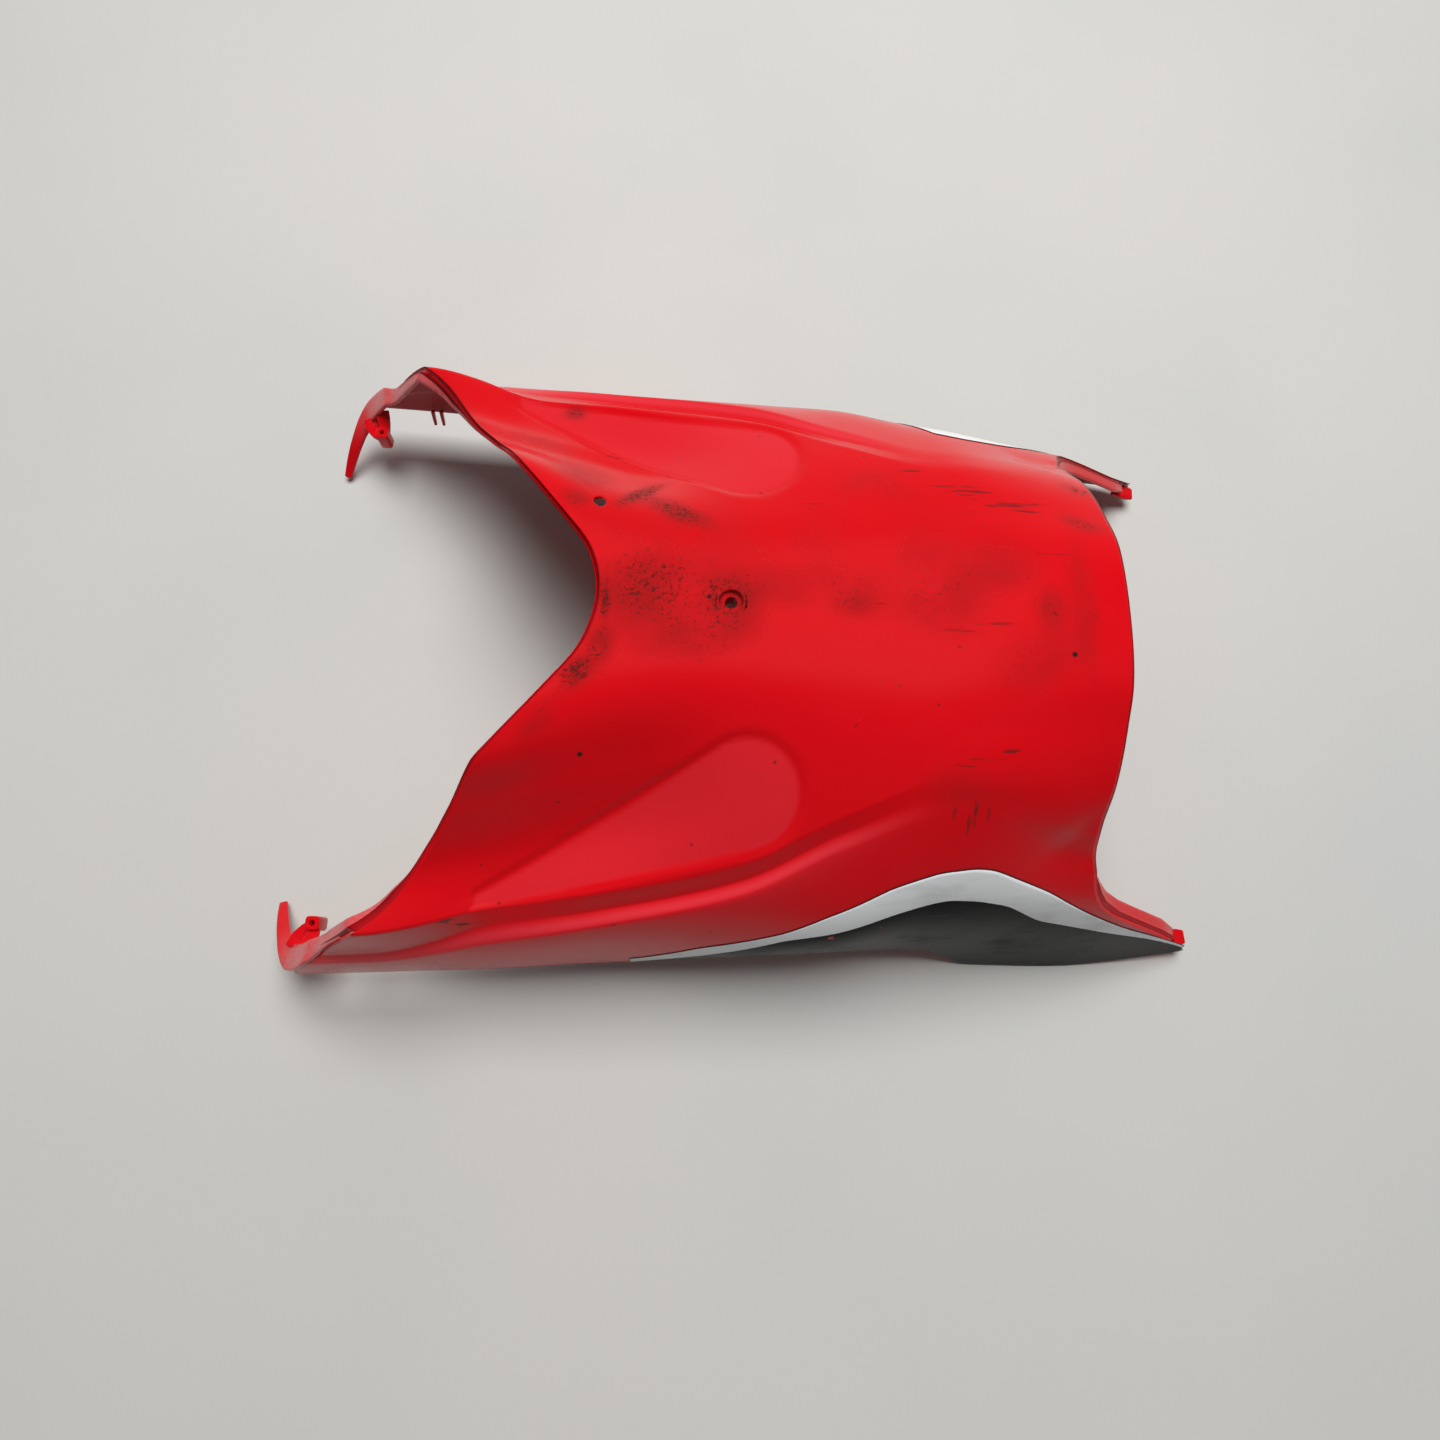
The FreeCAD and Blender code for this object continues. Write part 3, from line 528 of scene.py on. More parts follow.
def drop_distance(x, y):
    """Distance inside the teardrop's outline, negative outside it."""
    spots = np.stack([x, np.abs(y)], axis=-1)
    from_circle = DROP_RADIUS - np.linalg.norm(spots - DROP_CENTRE, axis=-1)
    inner, outer = drop_sides()
    corners = np.array([*DROP_TAIL, outer, inner])
    from_sides = np.full(x.shape, 1e3)
    for first, second in zip(corners, np.roll(corners, -1, axis=0)):
        along = unit(second - first)
        normal = np.array((along[1], -along[0]))
        if (corners.mean(axis=0) - first) @ normal < 0:
            normal = -normal
        from_sides = np.minimum(from_sides, (spots - first) @ normal)
    return np.maximum(from_circle, from_sides)


def drop_step(x, y):
    """Depth of the recess."""
    softness = DROP_SOFTNESS[0] + DROP_SOFTNESS[1] * smooth_step(*DROP_HEAD, x)
    return DROP_DEPTH * smooth_step(-softness, softness * DROP_INSIDE, drop_distance(x, y))


def crease_step(x, y):
    """Depth of the crease along the teardrop's straight inner side."""
    start, end = DROP_TAIL[0], drop_sides()[0]
    length = np.linalg.norm(end - start)
    along = (end - start) / length
    normal = np.array((along[1], -along[0]))
    spots = np.stack([x, np.abs(y)], axis=-1) - start
    place = spots @ along
    away = (spots @ normal) * np.sign((DROP_CENTRE - start) @ normal)
    reach = np.where(away < 0, *CREASE_REACH)
    depth = np.clip(1 - (np.sqrt(away ** 2 + CREASE_ROUND ** 2) - CREASE_ROUND) / reach, 0, 1) ** 2
    depth = CREASE_DEPTH * depth * smooth_step(*CREASE_START, place)
    return depth * (1 - smooth_step(length + CREASE_END[0], length + CREASE_END[1], place))


def turned(dx, dy, degrees):
    """Steps along and across a direction."""
    c, s = math.cos(math.radians(degrees)), math.sin(math.radians(degrees))
    return dx * c + dy * s, dy * c - dx * s


# Ellipses in plan: centre, half lengths, turn in degrees and depth, and their fade along X
SHOULDERS = ((208, 132, 15, 7, 0, -2.0), (188, 113, 28, 8, -38, 1.2))
SHOULDER_FADE = (250, 290)


def shoulder_step(x, y):
    """Raised shoulder at the root of each wing, and the hollow that runs past it."""
    depth = np.zeros(x.shape)
    for place, across, long, wide, turn, amount in SHOULDERS:
        forward, sideways = turned(x - place, np.abs(y) - across, turn)
        depth += amount * np.exp(-((forward / long) ** 2 + (sideways / wide) ** 2))
    return depth * (1 - smooth_step(*SHOULDER_FADE, x))


# Flanges: directions on the left side, front width, rows over which the tail's flange turns inward, heights
# and places over which the front edge becomes plain, and limits of the turn in radians
DOWN = np.array((0.0, 0.0, -1.0))
TAIL_INWARD = np.array((0.2, -0.98, 0.0))
FRONT_INWARD = np.array((0.0, -1.0, 0.0))
FRONT_WIDTH = 9.0
TAIL_TURN = (1.6, 4.0)
PLAIN_HEIGHTS = (88, 104)
PLAIN_PLACES = (283, 285.5)
TURN_LIMITS = (0.6, 2.2)


def flange_shape(points, rows, front):
    """Direction, width and fold of the flange at each edge point, and how plain the edge is."""
    mirror = np.where(points[:, 1:2] < 0, (1, -1, 1), 1.0)
    row = np.abs(rows)
    everywhere = np.ones(len(points))
    if front:
        plain = smooth_step(*PLAIN_HEIGHTS, points[:, 2])
        plain = np.maximum(plain, smooth_step(*PLAIN_PLACES, points[:, 0]))
        direction = np.where(plain[:, None] < 1, FRONT_INWARD * mirror, DOWN)
        return direction, FRONT_WIDTH * everywhere, FOLD_RADIUS * everywhere, plain
    turn = smooth_step(*TAIL_TURN, row)[:, None]
    direction = DOWN * (1 - turn) + TAIL_INWARD * mirror * turn
    return direction, np.interp(row, *FLANGE_WIDTH), np.interp(row, *FLANGE_FOLD), 0.0 * everywhere


def settled(vectors, chosen):
    """Unit vectors round a loop, evened out where chosen."""
    for _ in range(RIM_PASSES):
        around = (np.roll(vectors, 1, axis=0) + 2 * vectors + np.roll(vectors, -1, axis=0)) / 4
        vectors = np.where(chosen[:, None], around, vectors)
    return unit(vectors)


def edge_rings(points, normals, rows, parts):
    """Rings of points round the rim, from the outer skin to the inner one."""
    level = np.abs(rows)
    normals = settled(normals, (parts == "tail") & (level > FLANGE_ROWS[0]) & (level < FLANGE_ROWS[1]))
    tangent = unit(np.roll(points, -1, axis=0) - np.roll(points, 1, axis=0))
    outward = unit(np.cross(tangent, normals))
    direction = np.tile(DOWN, (len(points), 1))
    width = np.zeros(len(points))
    fold = np.full(len(points), FOLD_RADIUS)
    plain = np.ones(len(points))
    for name in ("tail", "front"):
        chosen = parts == name
        shape = flange_shape(points[chosen], rows[chosen], name == "front")
        direction[chosen], width[chosen], fold[chosen], plain[chosen] = shape
    turn = np.arctan2(-(direction * normals).sum(axis=1), (direction * outward).sum(axis=1))
    turn = np.clip(turn, *TURN_LIMITS)
    sections = np.array([edge_profile(*values) for values in zip(turn, width, fold, plain)])
    rings = points[:, None] + outward[:, None] * sections[..., :1] - normals[:, None] * sections[..., 1:]
    rings[..., 2] = np.maximum(rings[..., 2], FLOOR_GAP)
    return np.moveaxis(rings, 1, 0)


# Dirt on the outer skin, as ellipses in plan like the shoulders, with an amount, and their fade
PATCH_FADE = (0.25, 1.35)
SPECKLES = (
    (-45, 0, 48, 30, 0, 0.5), (-62, 12, 25, 22, 0, 0.5), (-14, 0, 18, 18, 0, 0.6),
    (-46, 57, 24, 9, -28, 0.8), (-70, 68, 19, 4, 50, 1.0), (-61, 73, 17, 4, 50, 0.9),
    (-102, 60, 9, 7, 0, 0.65), (-84, -28, 9, 15, -15, 0.7), (-95, -43, 13, 9, 45, 0.95),
    (-112, -66, 16, 7, 50, 0.55), (-82, -2, 3.5, 11, 0, 1.0), (-114, 151, 9, 6, 0, 0.8),
    (-131, 117, 22, 10, -20, 0.45), (158, 0, 10, 14, 0, 0.6), (133, 27, 22, 18, 0, 0.35),
    (190, 84, 7, 12, 60, 0.8), (184, 54, 7, 14, 70, 0.7), (100, 0, 26, 18, 0, 0.4),
    (50, 0, 17, 9, 0, 0.5), (118, -95, 30, 12, 5, 0.4), (-205, 150, 40, 16, -40, 0.55),
    (-60, 30, 60, 45, 0, 0.25), (60, 45, 90, 40, 0, 0.15), (20, 10, 40, 14, 0, 0.4),
    (90, 15, 55, 22, 8, 0.3), (150, -28, 26, 16, 30, 0.35), (176, 4, 9, 40, 0, 0.4),
    (-100, 84, 22, 14, -30, 0.45), (-30, -22, 34, 12, 10, 0.35), (70, 78, 40, 14, -4, 0.35),
)
STREAKS = (
    (-66, 2, 8, 2.5, 0, 1.0), (-32, 2, 5, 2.2, 0, 1.0), (14, 2, 9, 3, 0, 0.75), (67, 0, 8, 3, 0, 0.75),
    (-86, 114, 8, 2.5, 0, 0.9), (-63, 111, 10, 3, -5, 1.0), (182, -5, 13, 2.6, 0, 1.0),
    (135, 72, 46, 8, -3, 0.85), (150, 62, 32, 5, -3, 0.75), (113, -83, 32, 7, 8, 0.7),
    (134, -79, 9, 3, 10, 1.0), (-155, -169.5, 24, 3.5, 0, 0.9), (92, 89, 17, 2.2, 0, 0.75),
    (92, 77, 17, 2.2, 0, 0.75), (30, 60, 40, 12, 0, 0.5), (150, 30, 30, 12, 0, 0.6),
    (40, 14, 60, 12, 0, 0.55), (120, -8, 45, 14, 0, 0.6), (100, 50, 50, 14, -3, 0.6),
    (-40, 14, 40, 10, 0, 0.5),
)
SCRATCHES = (
    (117, -111, 15, 14, 0, 0.9), (104, -121, 12, 5, 10, 0.6), (78, 83, 2.2, 7, 0, 0.7),
    (106, 83, 2.2, 7, 0, 0.7), (170, 15, 5, 30, 0, 0.5),
)


def dirt_marks(points):
    """Amount of each kind of dirt at each point."""
    marks = {}
    for label, patches in (("speckle", SPECKLES), ("streak", STREAKS), ("scratch", SCRATCHES)):
        clean = np.ones(len(points))
        for x, y, long, wide, turn, amount in patches:
            forward, sideways = turned(points[:, 0] - x, points[:, 1] - y, turn)
            away = np.hypot(forward / long, sideways / wide)
            clean *= 1 - amount * (1 - smooth_step(*PATCH_FADE, away))
        marks[label] = 1 - clean
    return marks


# Painted highlight: the pale ridge's grid row, reach in rows and fade along X, the teardrop's share and its
# rise from the outline inwards; and the rows over which the rim becomes pale, partly as dust and partly as
# painted light
RIDGE_ROW = 5.6
RIDGE_REACH = 0.4
RIDGE_FADE = (30, 110)
DROP_HIGHLIGHT = 0.45
DROP_HIGHLIGHT_RISE = (0, 3)
RIM_DUST_AND_LIGHT_ROWS = (1.0, 2.8)


def add_shell(material):
    """The moulded shell: outer and inner skin, holes, and the rim with its flanges."""
    rows, x, u = whole_grid()
    outer = SKIN.at(x, u)
    normals = SKIN.normals(x, u)
    inner = outer - normals * WALL
    bent = crease_step(x, outer[..., 1]) + shoulder_step(x, outer[..., 1])
    inner = inner - normals * bent[..., None]
    outer = outer - normals * (bent + drop_step(x, outer[..., 1]))[..., None]
    top, last = len(rows) - 1, COLUMNS
    loop = [(r, 0) for r in range(top + 1)]
    loop += [(top, c) for c in range(1, last + 1)]
    loop += [(r, last) for r in range(top - 1, -1, -1)]
    loop += [(0, c) for c in range(last - 1, 0, -1)]
    parts = np.array(["tail" if c == 0 else "front" if c == last else "low" for r, c in loop])
    spots = tuple(np.array(loop).T)
    rim = edge_rings(outer[spots], normals[spots], rows[spots[0]], parts)
    inner[spots] = rim[-1]
    build = Builder()
    outer_index = build.add(outer)
    inner_index = build.add(inner)
    keep = np.ones((top, last), bool)
    for centre, reach, *steps in HOLES:
        gone, order = hole_loop(outer, centre, reach)
        keep &= ~gone
        order, angles = loop_angles(outer, order, centre)
        rings = [[outer_index[s] for s in order]]
        rings += [build.add(ring) for ring in hole_rings(angles, centre, *steps)]
        rings.append([inner_index[s] for s in order])
        build.bands(rings)
    build.sheet(outer_index, True, keep)
    build.sheet(inner_index, False, keep)
    rim_indices = [build.add(ring) for ring in rim[1:-1]]
    build.bands([outer_index[spots]] + rim_indices + [inner_index[spots]], flip=True)
    build.marks = dirt_marks(np.concatenate(build.points))
    # Inner skin: made rougher, and darkened as painted shade in the material
    build.mark("under", inner_index, 1.0)
    # Tail rim turned pale pink: partly dust, partly painted light on its upward-facing flange
    dust_and_light = np.where(parts == "tail", smooth_step(*RIM_DUST_AND_LIGHT_ROWS, np.abs(rows[spots[0]])), 0.0)
    for index in rim_indices:
        build.mark("rim", index, dust_and_light)
    # Painted highlight along the ridge, and painted light on the teardrop recesses
    ridge = np.exp(-((np.abs(rows)[:, None] - RIDGE_ROW) / RIDGE_REACH) ** 2)
    ridge = ridge * (1 - smooth_step(*RIDGE_FADE, x))
    pads = DROP_HIGHLIGHT * smooth_step(*DROP_HIGHLIGHT_RISE, drop_distance(x, outer[..., 1]))
    build.mark("painted_highlight", outer_index, np.maximum(ridge, pads))
    shell = build.make("shell", material)
    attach(shell, "root")
    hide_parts("underbody_panel")


# Small forms of the same moulding. A bar's steps between points, passes of smoothing, outline's points and
# power, and how blunt its ends are
BAR_STEPS = 8
BAR_PASSES = 6
BAR_OUTLINE = (28, 0.4)
BAR_BLUNT = 0.35
BAR_ENDS = (0.0, 0.5, 0.8, 0.95)


def squarish(count, power):
    """Points round a circle, or at a low power round a square with rounded corners."""
    angles = np.linspace(0, 2 * math.pi, count, endpoint=False)
    circle = np.stack([np.cos(angles), np.sin(angles)], axis=1)
    return np.sign(circle) * np.abs(circle) ** power


def spread(shares, values):
    """Rows of values, carried over to places between them."""
    stops = np.arange(len(values))
    return np.stack([np.interp(shares, stops, column) for column in np.transpose(values)], axis=1)


def bar(build, path, width, thickness, across):
    """Rounded bar along a path, with widths, thicknesses and width directions at its points."""
    path = np.array(path, float)
    shares = np.linspace(0, len(path) - 1, BAR_STEPS * (len(path) - 1) + 1)
    line = evened(spread(shares, path), BAR_PASSES)
    sizes = spread(shares, np.stack([width, thickness], axis=1))
    along = unit(np.gradient(line, axis=0))
    side = spread(shares, np.broadcast_to(np.array(across, float), path.shape))
    side = unit(side - along * (along * side).sum(axis=1, keepdims=True))
    face = np.cross(along, side)
    wide, deep = squarish(*BAR_OUTLINE).T
    steps = [(0, -1, share) for share in BAR_ENDS]
    steps += [(i, 0, 1.0) for i in range(len(line))]
    steps += [(len(line) - 1, 1, share) for share in BAR_ENDS[::-1]]
    rings = []
    for i, end, share in steps:
        half = sizes[i] / 2
        bulge = BAR_BLUNT * min(sizes[i])
        shrink = 1 - bulge * (1 - share) / half
        centre = line[i] + along[i] * end * bulge * math.sqrt(max(0.0, 1 - share * share))
        ring = centre + side[i] * (wide * half[0] * shrink[0])[:, None]
        rings.append(build.add(ring + face[i] * (deep * half[1] * shrink[1])[:, None]))
    build.bands(rings)
    build.faces.append(rings[0].tolist())
    build.faces.append(rings[-1][::-1].tolist())


# Pilot block: centre on the left side, half width, bottom, top and hole radius, and its outline
PILOT_CENTRE = np.array((-259.5, 170.0))
PILOT_SIZES = (4.25, 30.0, 44.0, 1.6)
PILOT_OUTLINE = (40, 0.45)


def block_with_hole(build, centre, half, bottom, top, hole):
    """Upright rounded block with a round hole through it."""
    square = squarish(*PILOT_OUTLINE)
    circle = squarish(PILOT_OUTLINE[0], 1.0)
    rings = []
    for outline, size, height in (
        (circle, hole, bottom + 0.4), (circle, hole + 0.3, bottom), (square, half - 0.6, bottom),
        (square, half - 0.15, bottom + 0.2), (square, half, bottom + 0.7), (square, half, top - 0.7),
        (square, half - 0.15, top - 0.2), (square, half - 0.6, top), (circle, hole + 0.5, top),
        (circle, hole + 0.1, top - 0.2), (circle, hole, top - 0.7),
    ):
        flat = centre + outline * size
        rings.append(build.add(np.column_stack([flat, np.full(len(flat), height)])))
    build.bands(rings + rings[:1], flip=True)


def add_piece(build, name, material):
    """A small form that goes with the shell."""
    piece = build.make(name, material)
    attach(piece, "root")


# Band that follows the raked tail and runs out into the tongue: rows of the rim, how far it stands off and
# over the rim, the way off in X and Z, the tongue's points, widths, thicknesses and width directions, and the
# heights over which it turns pale, partly as dust and partly as painted light on its upper faces
BAND_ROWS = np.array((4.3, 4.6, 4.9, 5.2, 5.6, 6.0, 6.4))
BAND_LIFT = np.array((-1.4, -0.8, -0.2, 0.1, 0.2, 0.3, 0.4))
BAND_OVERLAP = np.array((-1.6, -1.2, -0.4, 0.5, 0.9, 1.0, 1.0))
BAND_OFF = (-0.77, 0.6)
TONGUE = (
    (-271, 190.5, 38.5), (-276.5, 186, 32.5), (-282, 179, 26), (-287.3, 171.3, 18.5), (-292, 163.5, 10.5),
    (-295.3, 157, 4.2),
)
BAND_WIDTHS = np.array((6, 8, 10, 11.5, 12.5, 14, 15.5, 16, 12, 9, 7.6, 6.4, 5.0))
BAND_THICKNESS = (2.4, 2.6, 3.0, 3.2, 3.4, 3.6, 3.8, 4.0, 3.8, 3.5, 3.3, 3.2, 3.0)
BAND_WAYS = ((-0.2, 1, 0),) * 7 + ((-0.3, 1, 0), (-0.6, 0.7, 0), (-1, 0.4, 0)) + ((-1, 0.1, 0),) * 3
BAND_DUST_AND_LIGHT = (18, 52)

# Other bars on the left side: points, widths, thicknesses and the width's direction
PRONG = (((-227.5, 192.5, 38), (-227.5, 190.5, 33), (-227.5, 188.6, 28.5)),
         (2.4, 2.2, 1.9), (3.4, 3.0, 2.2), (1, 0, 0))
PRONG_PITCH = (6, 0, 0)
BARS = {
    "arm": (((-260.5, 171, 36), (-264.5, 174.5, 35.5), (-268, 179.5, 36), (-270, 184.5, 37.5)),
            (8, 11, 13, 12), (3, 2.6, 2.6, 3), (1, 0.5, 0)),
    "block_web": (((-258, 172.5, 40), (-258.8, 177.5, 42), (-259.5, 181.5, 44), (-260, 185, 46)),
                  (6, 8, 9, 9), (2.4, 2.4, 2.4, 2.4), (1, 0, 0)),
    "prong_1": PRONG,
    "prong_2": (np.add(PRONG[0], PRONG_PITCH),) + PRONG[1:],
    "tip_tab": (((282.5, 167, 14.5), (288, 166, 13), (293.5, 165.3, 11.6), (298.0, 164.9, 10.4)),
                (12, 12, 11, 9), (3.2, 3.2, 3, 2.8), (0, 1, 0)),
}


def band_path(ends):
    """Middle line of the band and the tongue, on the left side."""
    start = np.interp(BAND_ROWS, ROWS, ends[:, 0])
    rim = SKIN.at(start, skin_u(BAND_ROWS, start))
    inward = BAND_OVERLAP - BAND_WIDTHS[:len(rim)] / 2
    line = rim + np.stack([BAND_OFF[0] * BAND_LIFT, inward, BAND_OFF[1] * BAND_LIFT], axis=1)
    return np.concatenate([line, TONGUE])


def add_bar(name, label, mirror, material):
    """One of the other bars, on the named side."""
    path, widths, depths, across = BARS[label]
    build = Builder()
    bar(build, path * mirror, widths, depths, across * mirror)
    add_piece(build, "%s_%s" % (name, label), material)


def add_tail_forms(material):
    """Tongue, arm, pilot block, web and prongs of each horn, and the tab at each wing tip."""
    for name, side, ends in (("left", 1, LEFT_ENDS), ("right", -1, RIGHT_ENDS)):
        mirror = np.array((1, side, 1))
        build = Builder()
        bar(build, band_path(ends) * mirror, BAND_WIDTHS, BAND_THICKNESS, BAND_WAYS * mirror)
        heights = np.concatenate(build.points)[:, 2]
        # Upper part of the band turned pale pink: partly dust, partly painted light
        build.marks = {"rim": smooth_step(*BAND_DUST_AND_LIGHT, heights)}
        add_piece(build, name + "_tongue", material)
        add_bar(name, "arm", mirror, material)
        build = Builder()
        block_with_hole(build, PILOT_CENTRE * mirror[:2], *PILOT_SIZES)
        add_piece(build, name + "_pilot_block", material)
        for label in ("block_web", "prong_1", "prong_2", "tip_tab"):
            add_bar(name, label, mirror, material)


# Printed films: top edge and boundary of the white band over the black field as X and Z, the left film's
# share of the height along X, margin at the bottom, least height, and grid
FILM_TOP = (
    (-66, -56, -24.5, 22, 46, 79, 109, 125.5, 137.5, 176.5, 215.5, 242.5, 296),
    (52, 57, 76, 91.4, 102.7, 114.4, 119.8, 119.4, 116, 95, 69, 49.7, 15.5),
)
FILM_BOUNDARY = (
    (-66, -15.5, 23.5, 47.5, 82, 113.5, 131.5, 152.5, 176.5, 209.5, 262, 289, 296),
    (38, 67, 85.3, 90, 98.5, 103.7, 100, 91.6, 72.5, 58.8, 32.6, 17.5, 13),
)
LEFT_FILM_SHARE = ((-66, 85, 100, 114), (0.62, 0.62, 0.8, 1.0))
FILM_MARGIN = 1.0
FILM_LEAST = 0.6
FILM_COLUMNS = 260
FILM_ROWS = 44
FILM_PASSES = 30


def smoothed(table, x):
    """Smooth curve near the points of a table."""
    fine = np.arange(table[0][0], table[0][-1] + 0.5, 1.0)
    return np.interp(x, fine, evened(np.interp(fine, *table), FILM_PASSES))


def add_films(material):
    """Thin printed film on each side wall."""
    x = np.linspace(FILM_TOP[0][0], FILM_TOP[0][-1], FILM_COLUMNS + 1)
    bottom = lower_height(x) + FILM_MARGIN - EDGE_RADIUS
    boundary = smoothed(FILM_BOUNDARY, x)
    share = np.linspace(0, 1, FILM_ROWS + 1)[:, None]
    for name, side in (("left", 1), ("right", -1)):
        mirror = np.array((1, side, 1))
        tall = np.interp(x, *LEFT_FILM_SHARE) if side > 0 else 1.0
        top = bottom + np.maximum(smoothed(FILM_TOP, x) - bottom, FILM_LEAST) * tall
        height = bottom + (top - bottom) * share
        place = np.broadcast_to(x, height.shape)
        u = np.stack([SKIN.u_at_height(x, line) for line in height])
        points = SKIN.at(place, u)
        normals = SKIN.normals(place, u)
        points = points - normals * shoulder_step(place, points[..., 1])[..., None]
        build = Builder()
        outer = build.add((points + normals * (FILM_GAP + FILM_THICKNESS)) * mirror)
        inner = build.add((points + normals * FILM_GAP) * mirror)
        build.sheet(outer)
        build.sheet(inner, flip=True)
        loops = []
        for index in (outer, inner):
            loops.append(np.concatenate([index[0], index[1:, -1], index[-1, -2::-1], index[-2:0:-1, 0]]))
        build.bands(loops)
        build.marks = {
            "field": np.tile((height - bottom - (boundary - bottom) * tall).ravel(), 2),
            "edge": np.tile((top - height).ravel(), 2),
        }
        film = build.make(name + "_film", material)
        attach(film, "root")
        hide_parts(name + "_decal")


# Materials: edge and core of dots and spots, and fine unevenness
DOT_EDGE = 0.02
DOT_CORE = 0.4
SPOT_CORE = 0.5
BUMP_STRENGTH = 0.35
BUMP_DISTANCE = 0.00012


class Amount:
    """Output of a node, with arithmetic that adds nodes to its graph."""

    def __init__(self, graph, socket):
        self.graph = graph
        self.socket = socket

    def __add__(self, other):
        return self.graph.math("ADD", self, other)

    def __mul__(self, other):
        return self.graph.math("MULTIPLY", self, other)

    def __sub__(self, other):
        return self.graph.math("SUBTRACT", self, other)

    def other(self, output):
        """Another output of the same node."""
        return Amount(self.graph, self.socket.node.outputs[output])

    def rise(self, low, high):
        """Smooth rise from 0 at low to 1 at high."""
        inputs = {"Value": self, "From Min": low, "From Max": high}
        return self.graph.node("ShaderNodeMapRange", inputs, interpolation_type="SMOOTHSTEP")

    def over(self, amount, limit, drop, soft):
        """Where this passes a limit that drops as an amount on the mesh grows."""
        limit = self.graph.math("SUBTRACT", limit, amount * drop)
        return self.rise(limit, limit + soft)


class Graph:
    """Node tree of a material or the world, with short names for the nodes that it uses."""

    def __init__(self, owner, shader="Principled BSDF", place="Object"):
        owner.use_nodes = True
        self.owner = owner
        self.tree = owner.node_tree
        self.shader = self.tree.nodes[shader]
        self.place = self.node("ShaderNodeTexCoord").other(place)

    def put(self, value, socket):
        """Link an amount into a socket, or set the socket's value."""
        if isinstance(value, Amount):
            self.tree.links.new(value.socket, socket)
        else:
            socket.default_value = value

    def use(self, value, name):
        """Give the shader an amount or a value."""
        self.put(value, self.shader.inputs[name])

    def node(self, kind, inputs=(), output=0, **settings):
        """Output of a new node; its inputs, by name or number, are amounts or values."""
        node = self.tree.nodes.new(kind)
        for name, value in settings.items():
            setattr(node, name, value)
        for name, value in dict(inputs).items():
            self.put(value, node.inputs[name])
        return Amount(self, node.outputs[output])

    def math(self, operation, first, second=0.0):
        return self.node("ShaderNodeMath", {0: first, 1: second}, operation=operation)

    def most(self, *values):
        """Largest of several amounts."""
        result = values[0]
        for value in values[1:]:
            result = self.math("MAXIMUM", result, value)
        return result

    def blend(self, share, first, second):
        """Colour between two colours."""
        return self.node("ShaderNodeMix", {0: share, 6: first, 7: second}, 2, data_type="RGBA")

    def noise(self, scale, detail, stretch=(1, 1, 1)):
        """Noise in the part's own coordinates, with a scale per metre."""
        place = self.node("ShaderNodeMapping", {"Scale": stretch, "Vector": self.place})
        return self.node("ShaderNodeTexNoise", {"Scale": scale, "Detail": detail, "Vector": place}, "Fac")

    def mark(self, name):
        """Amount that is stored on the mesh."""
        return self.node("ShaderNodeAttribute", (), "Fac", attribute_name=name)

    def specks(self, scale, size, chance):
        """Scattered dots: cells per metre, dot size in cells and the share of cells that have one."""
        cells = self.node("ShaderNodeTexVoronoi", {"Scale": scale, "Vector": self.place}, "Color")
        parts = self.node("ShaderNodeSeparateColor", {"Color": cells})
        near = parts.other(1) * size
        dot = cells.other("Distance").rise(near + DOT_EDGE, near * DOT_CORE)
        return dot * self.math("LESS_THAN", parts, chance)

    def spots(self, table):
        """Round spots, by centre and radius in millimetres."""
        found = []
        for centre, radius in table:
            inputs = {0: self.place, 1: [value * MM for value in centre]}
            away = self.node("ShaderNodeVectorMath", inputs, "Value", operation="DISTANCE")
            found.append(away.rise(radius * MM, radius * MM * SPOT_CORE))
        return self.most(*found)

    def bump(self, height):
        """Normal of a fine unevenness."""
        inputs = {"Strength": BUMP_STRENGTH, "Distance": BUMP_DISTANCE, "Height": height}
        return self.node("ShaderNodeBump", inputs)


RED = (0.66, 0.0022, 0.0065, 1)
HIGHLIGHT_RED = (0.80, 0.06, 0.085, 1)
SHADED_UNDERSIDE_RED = (0.38, 0.005, 0.009, 1)
DIRT = (0.035, 0.012, 0.010, 1)
# Pale pink: dust, and also painted light on the rim and tongue
PINK_DUST_AND_LIGHT = (0.66, 0.21, 0.22, 1)
RED_SPECULAR = 0.32
DENT_SPOTS = (((-92.0, -83.2, 142.6), 2.2), ((169.0, -26.1, 166.8), 2.0), ((-26.0, 2.0, 161.0), 1.6))


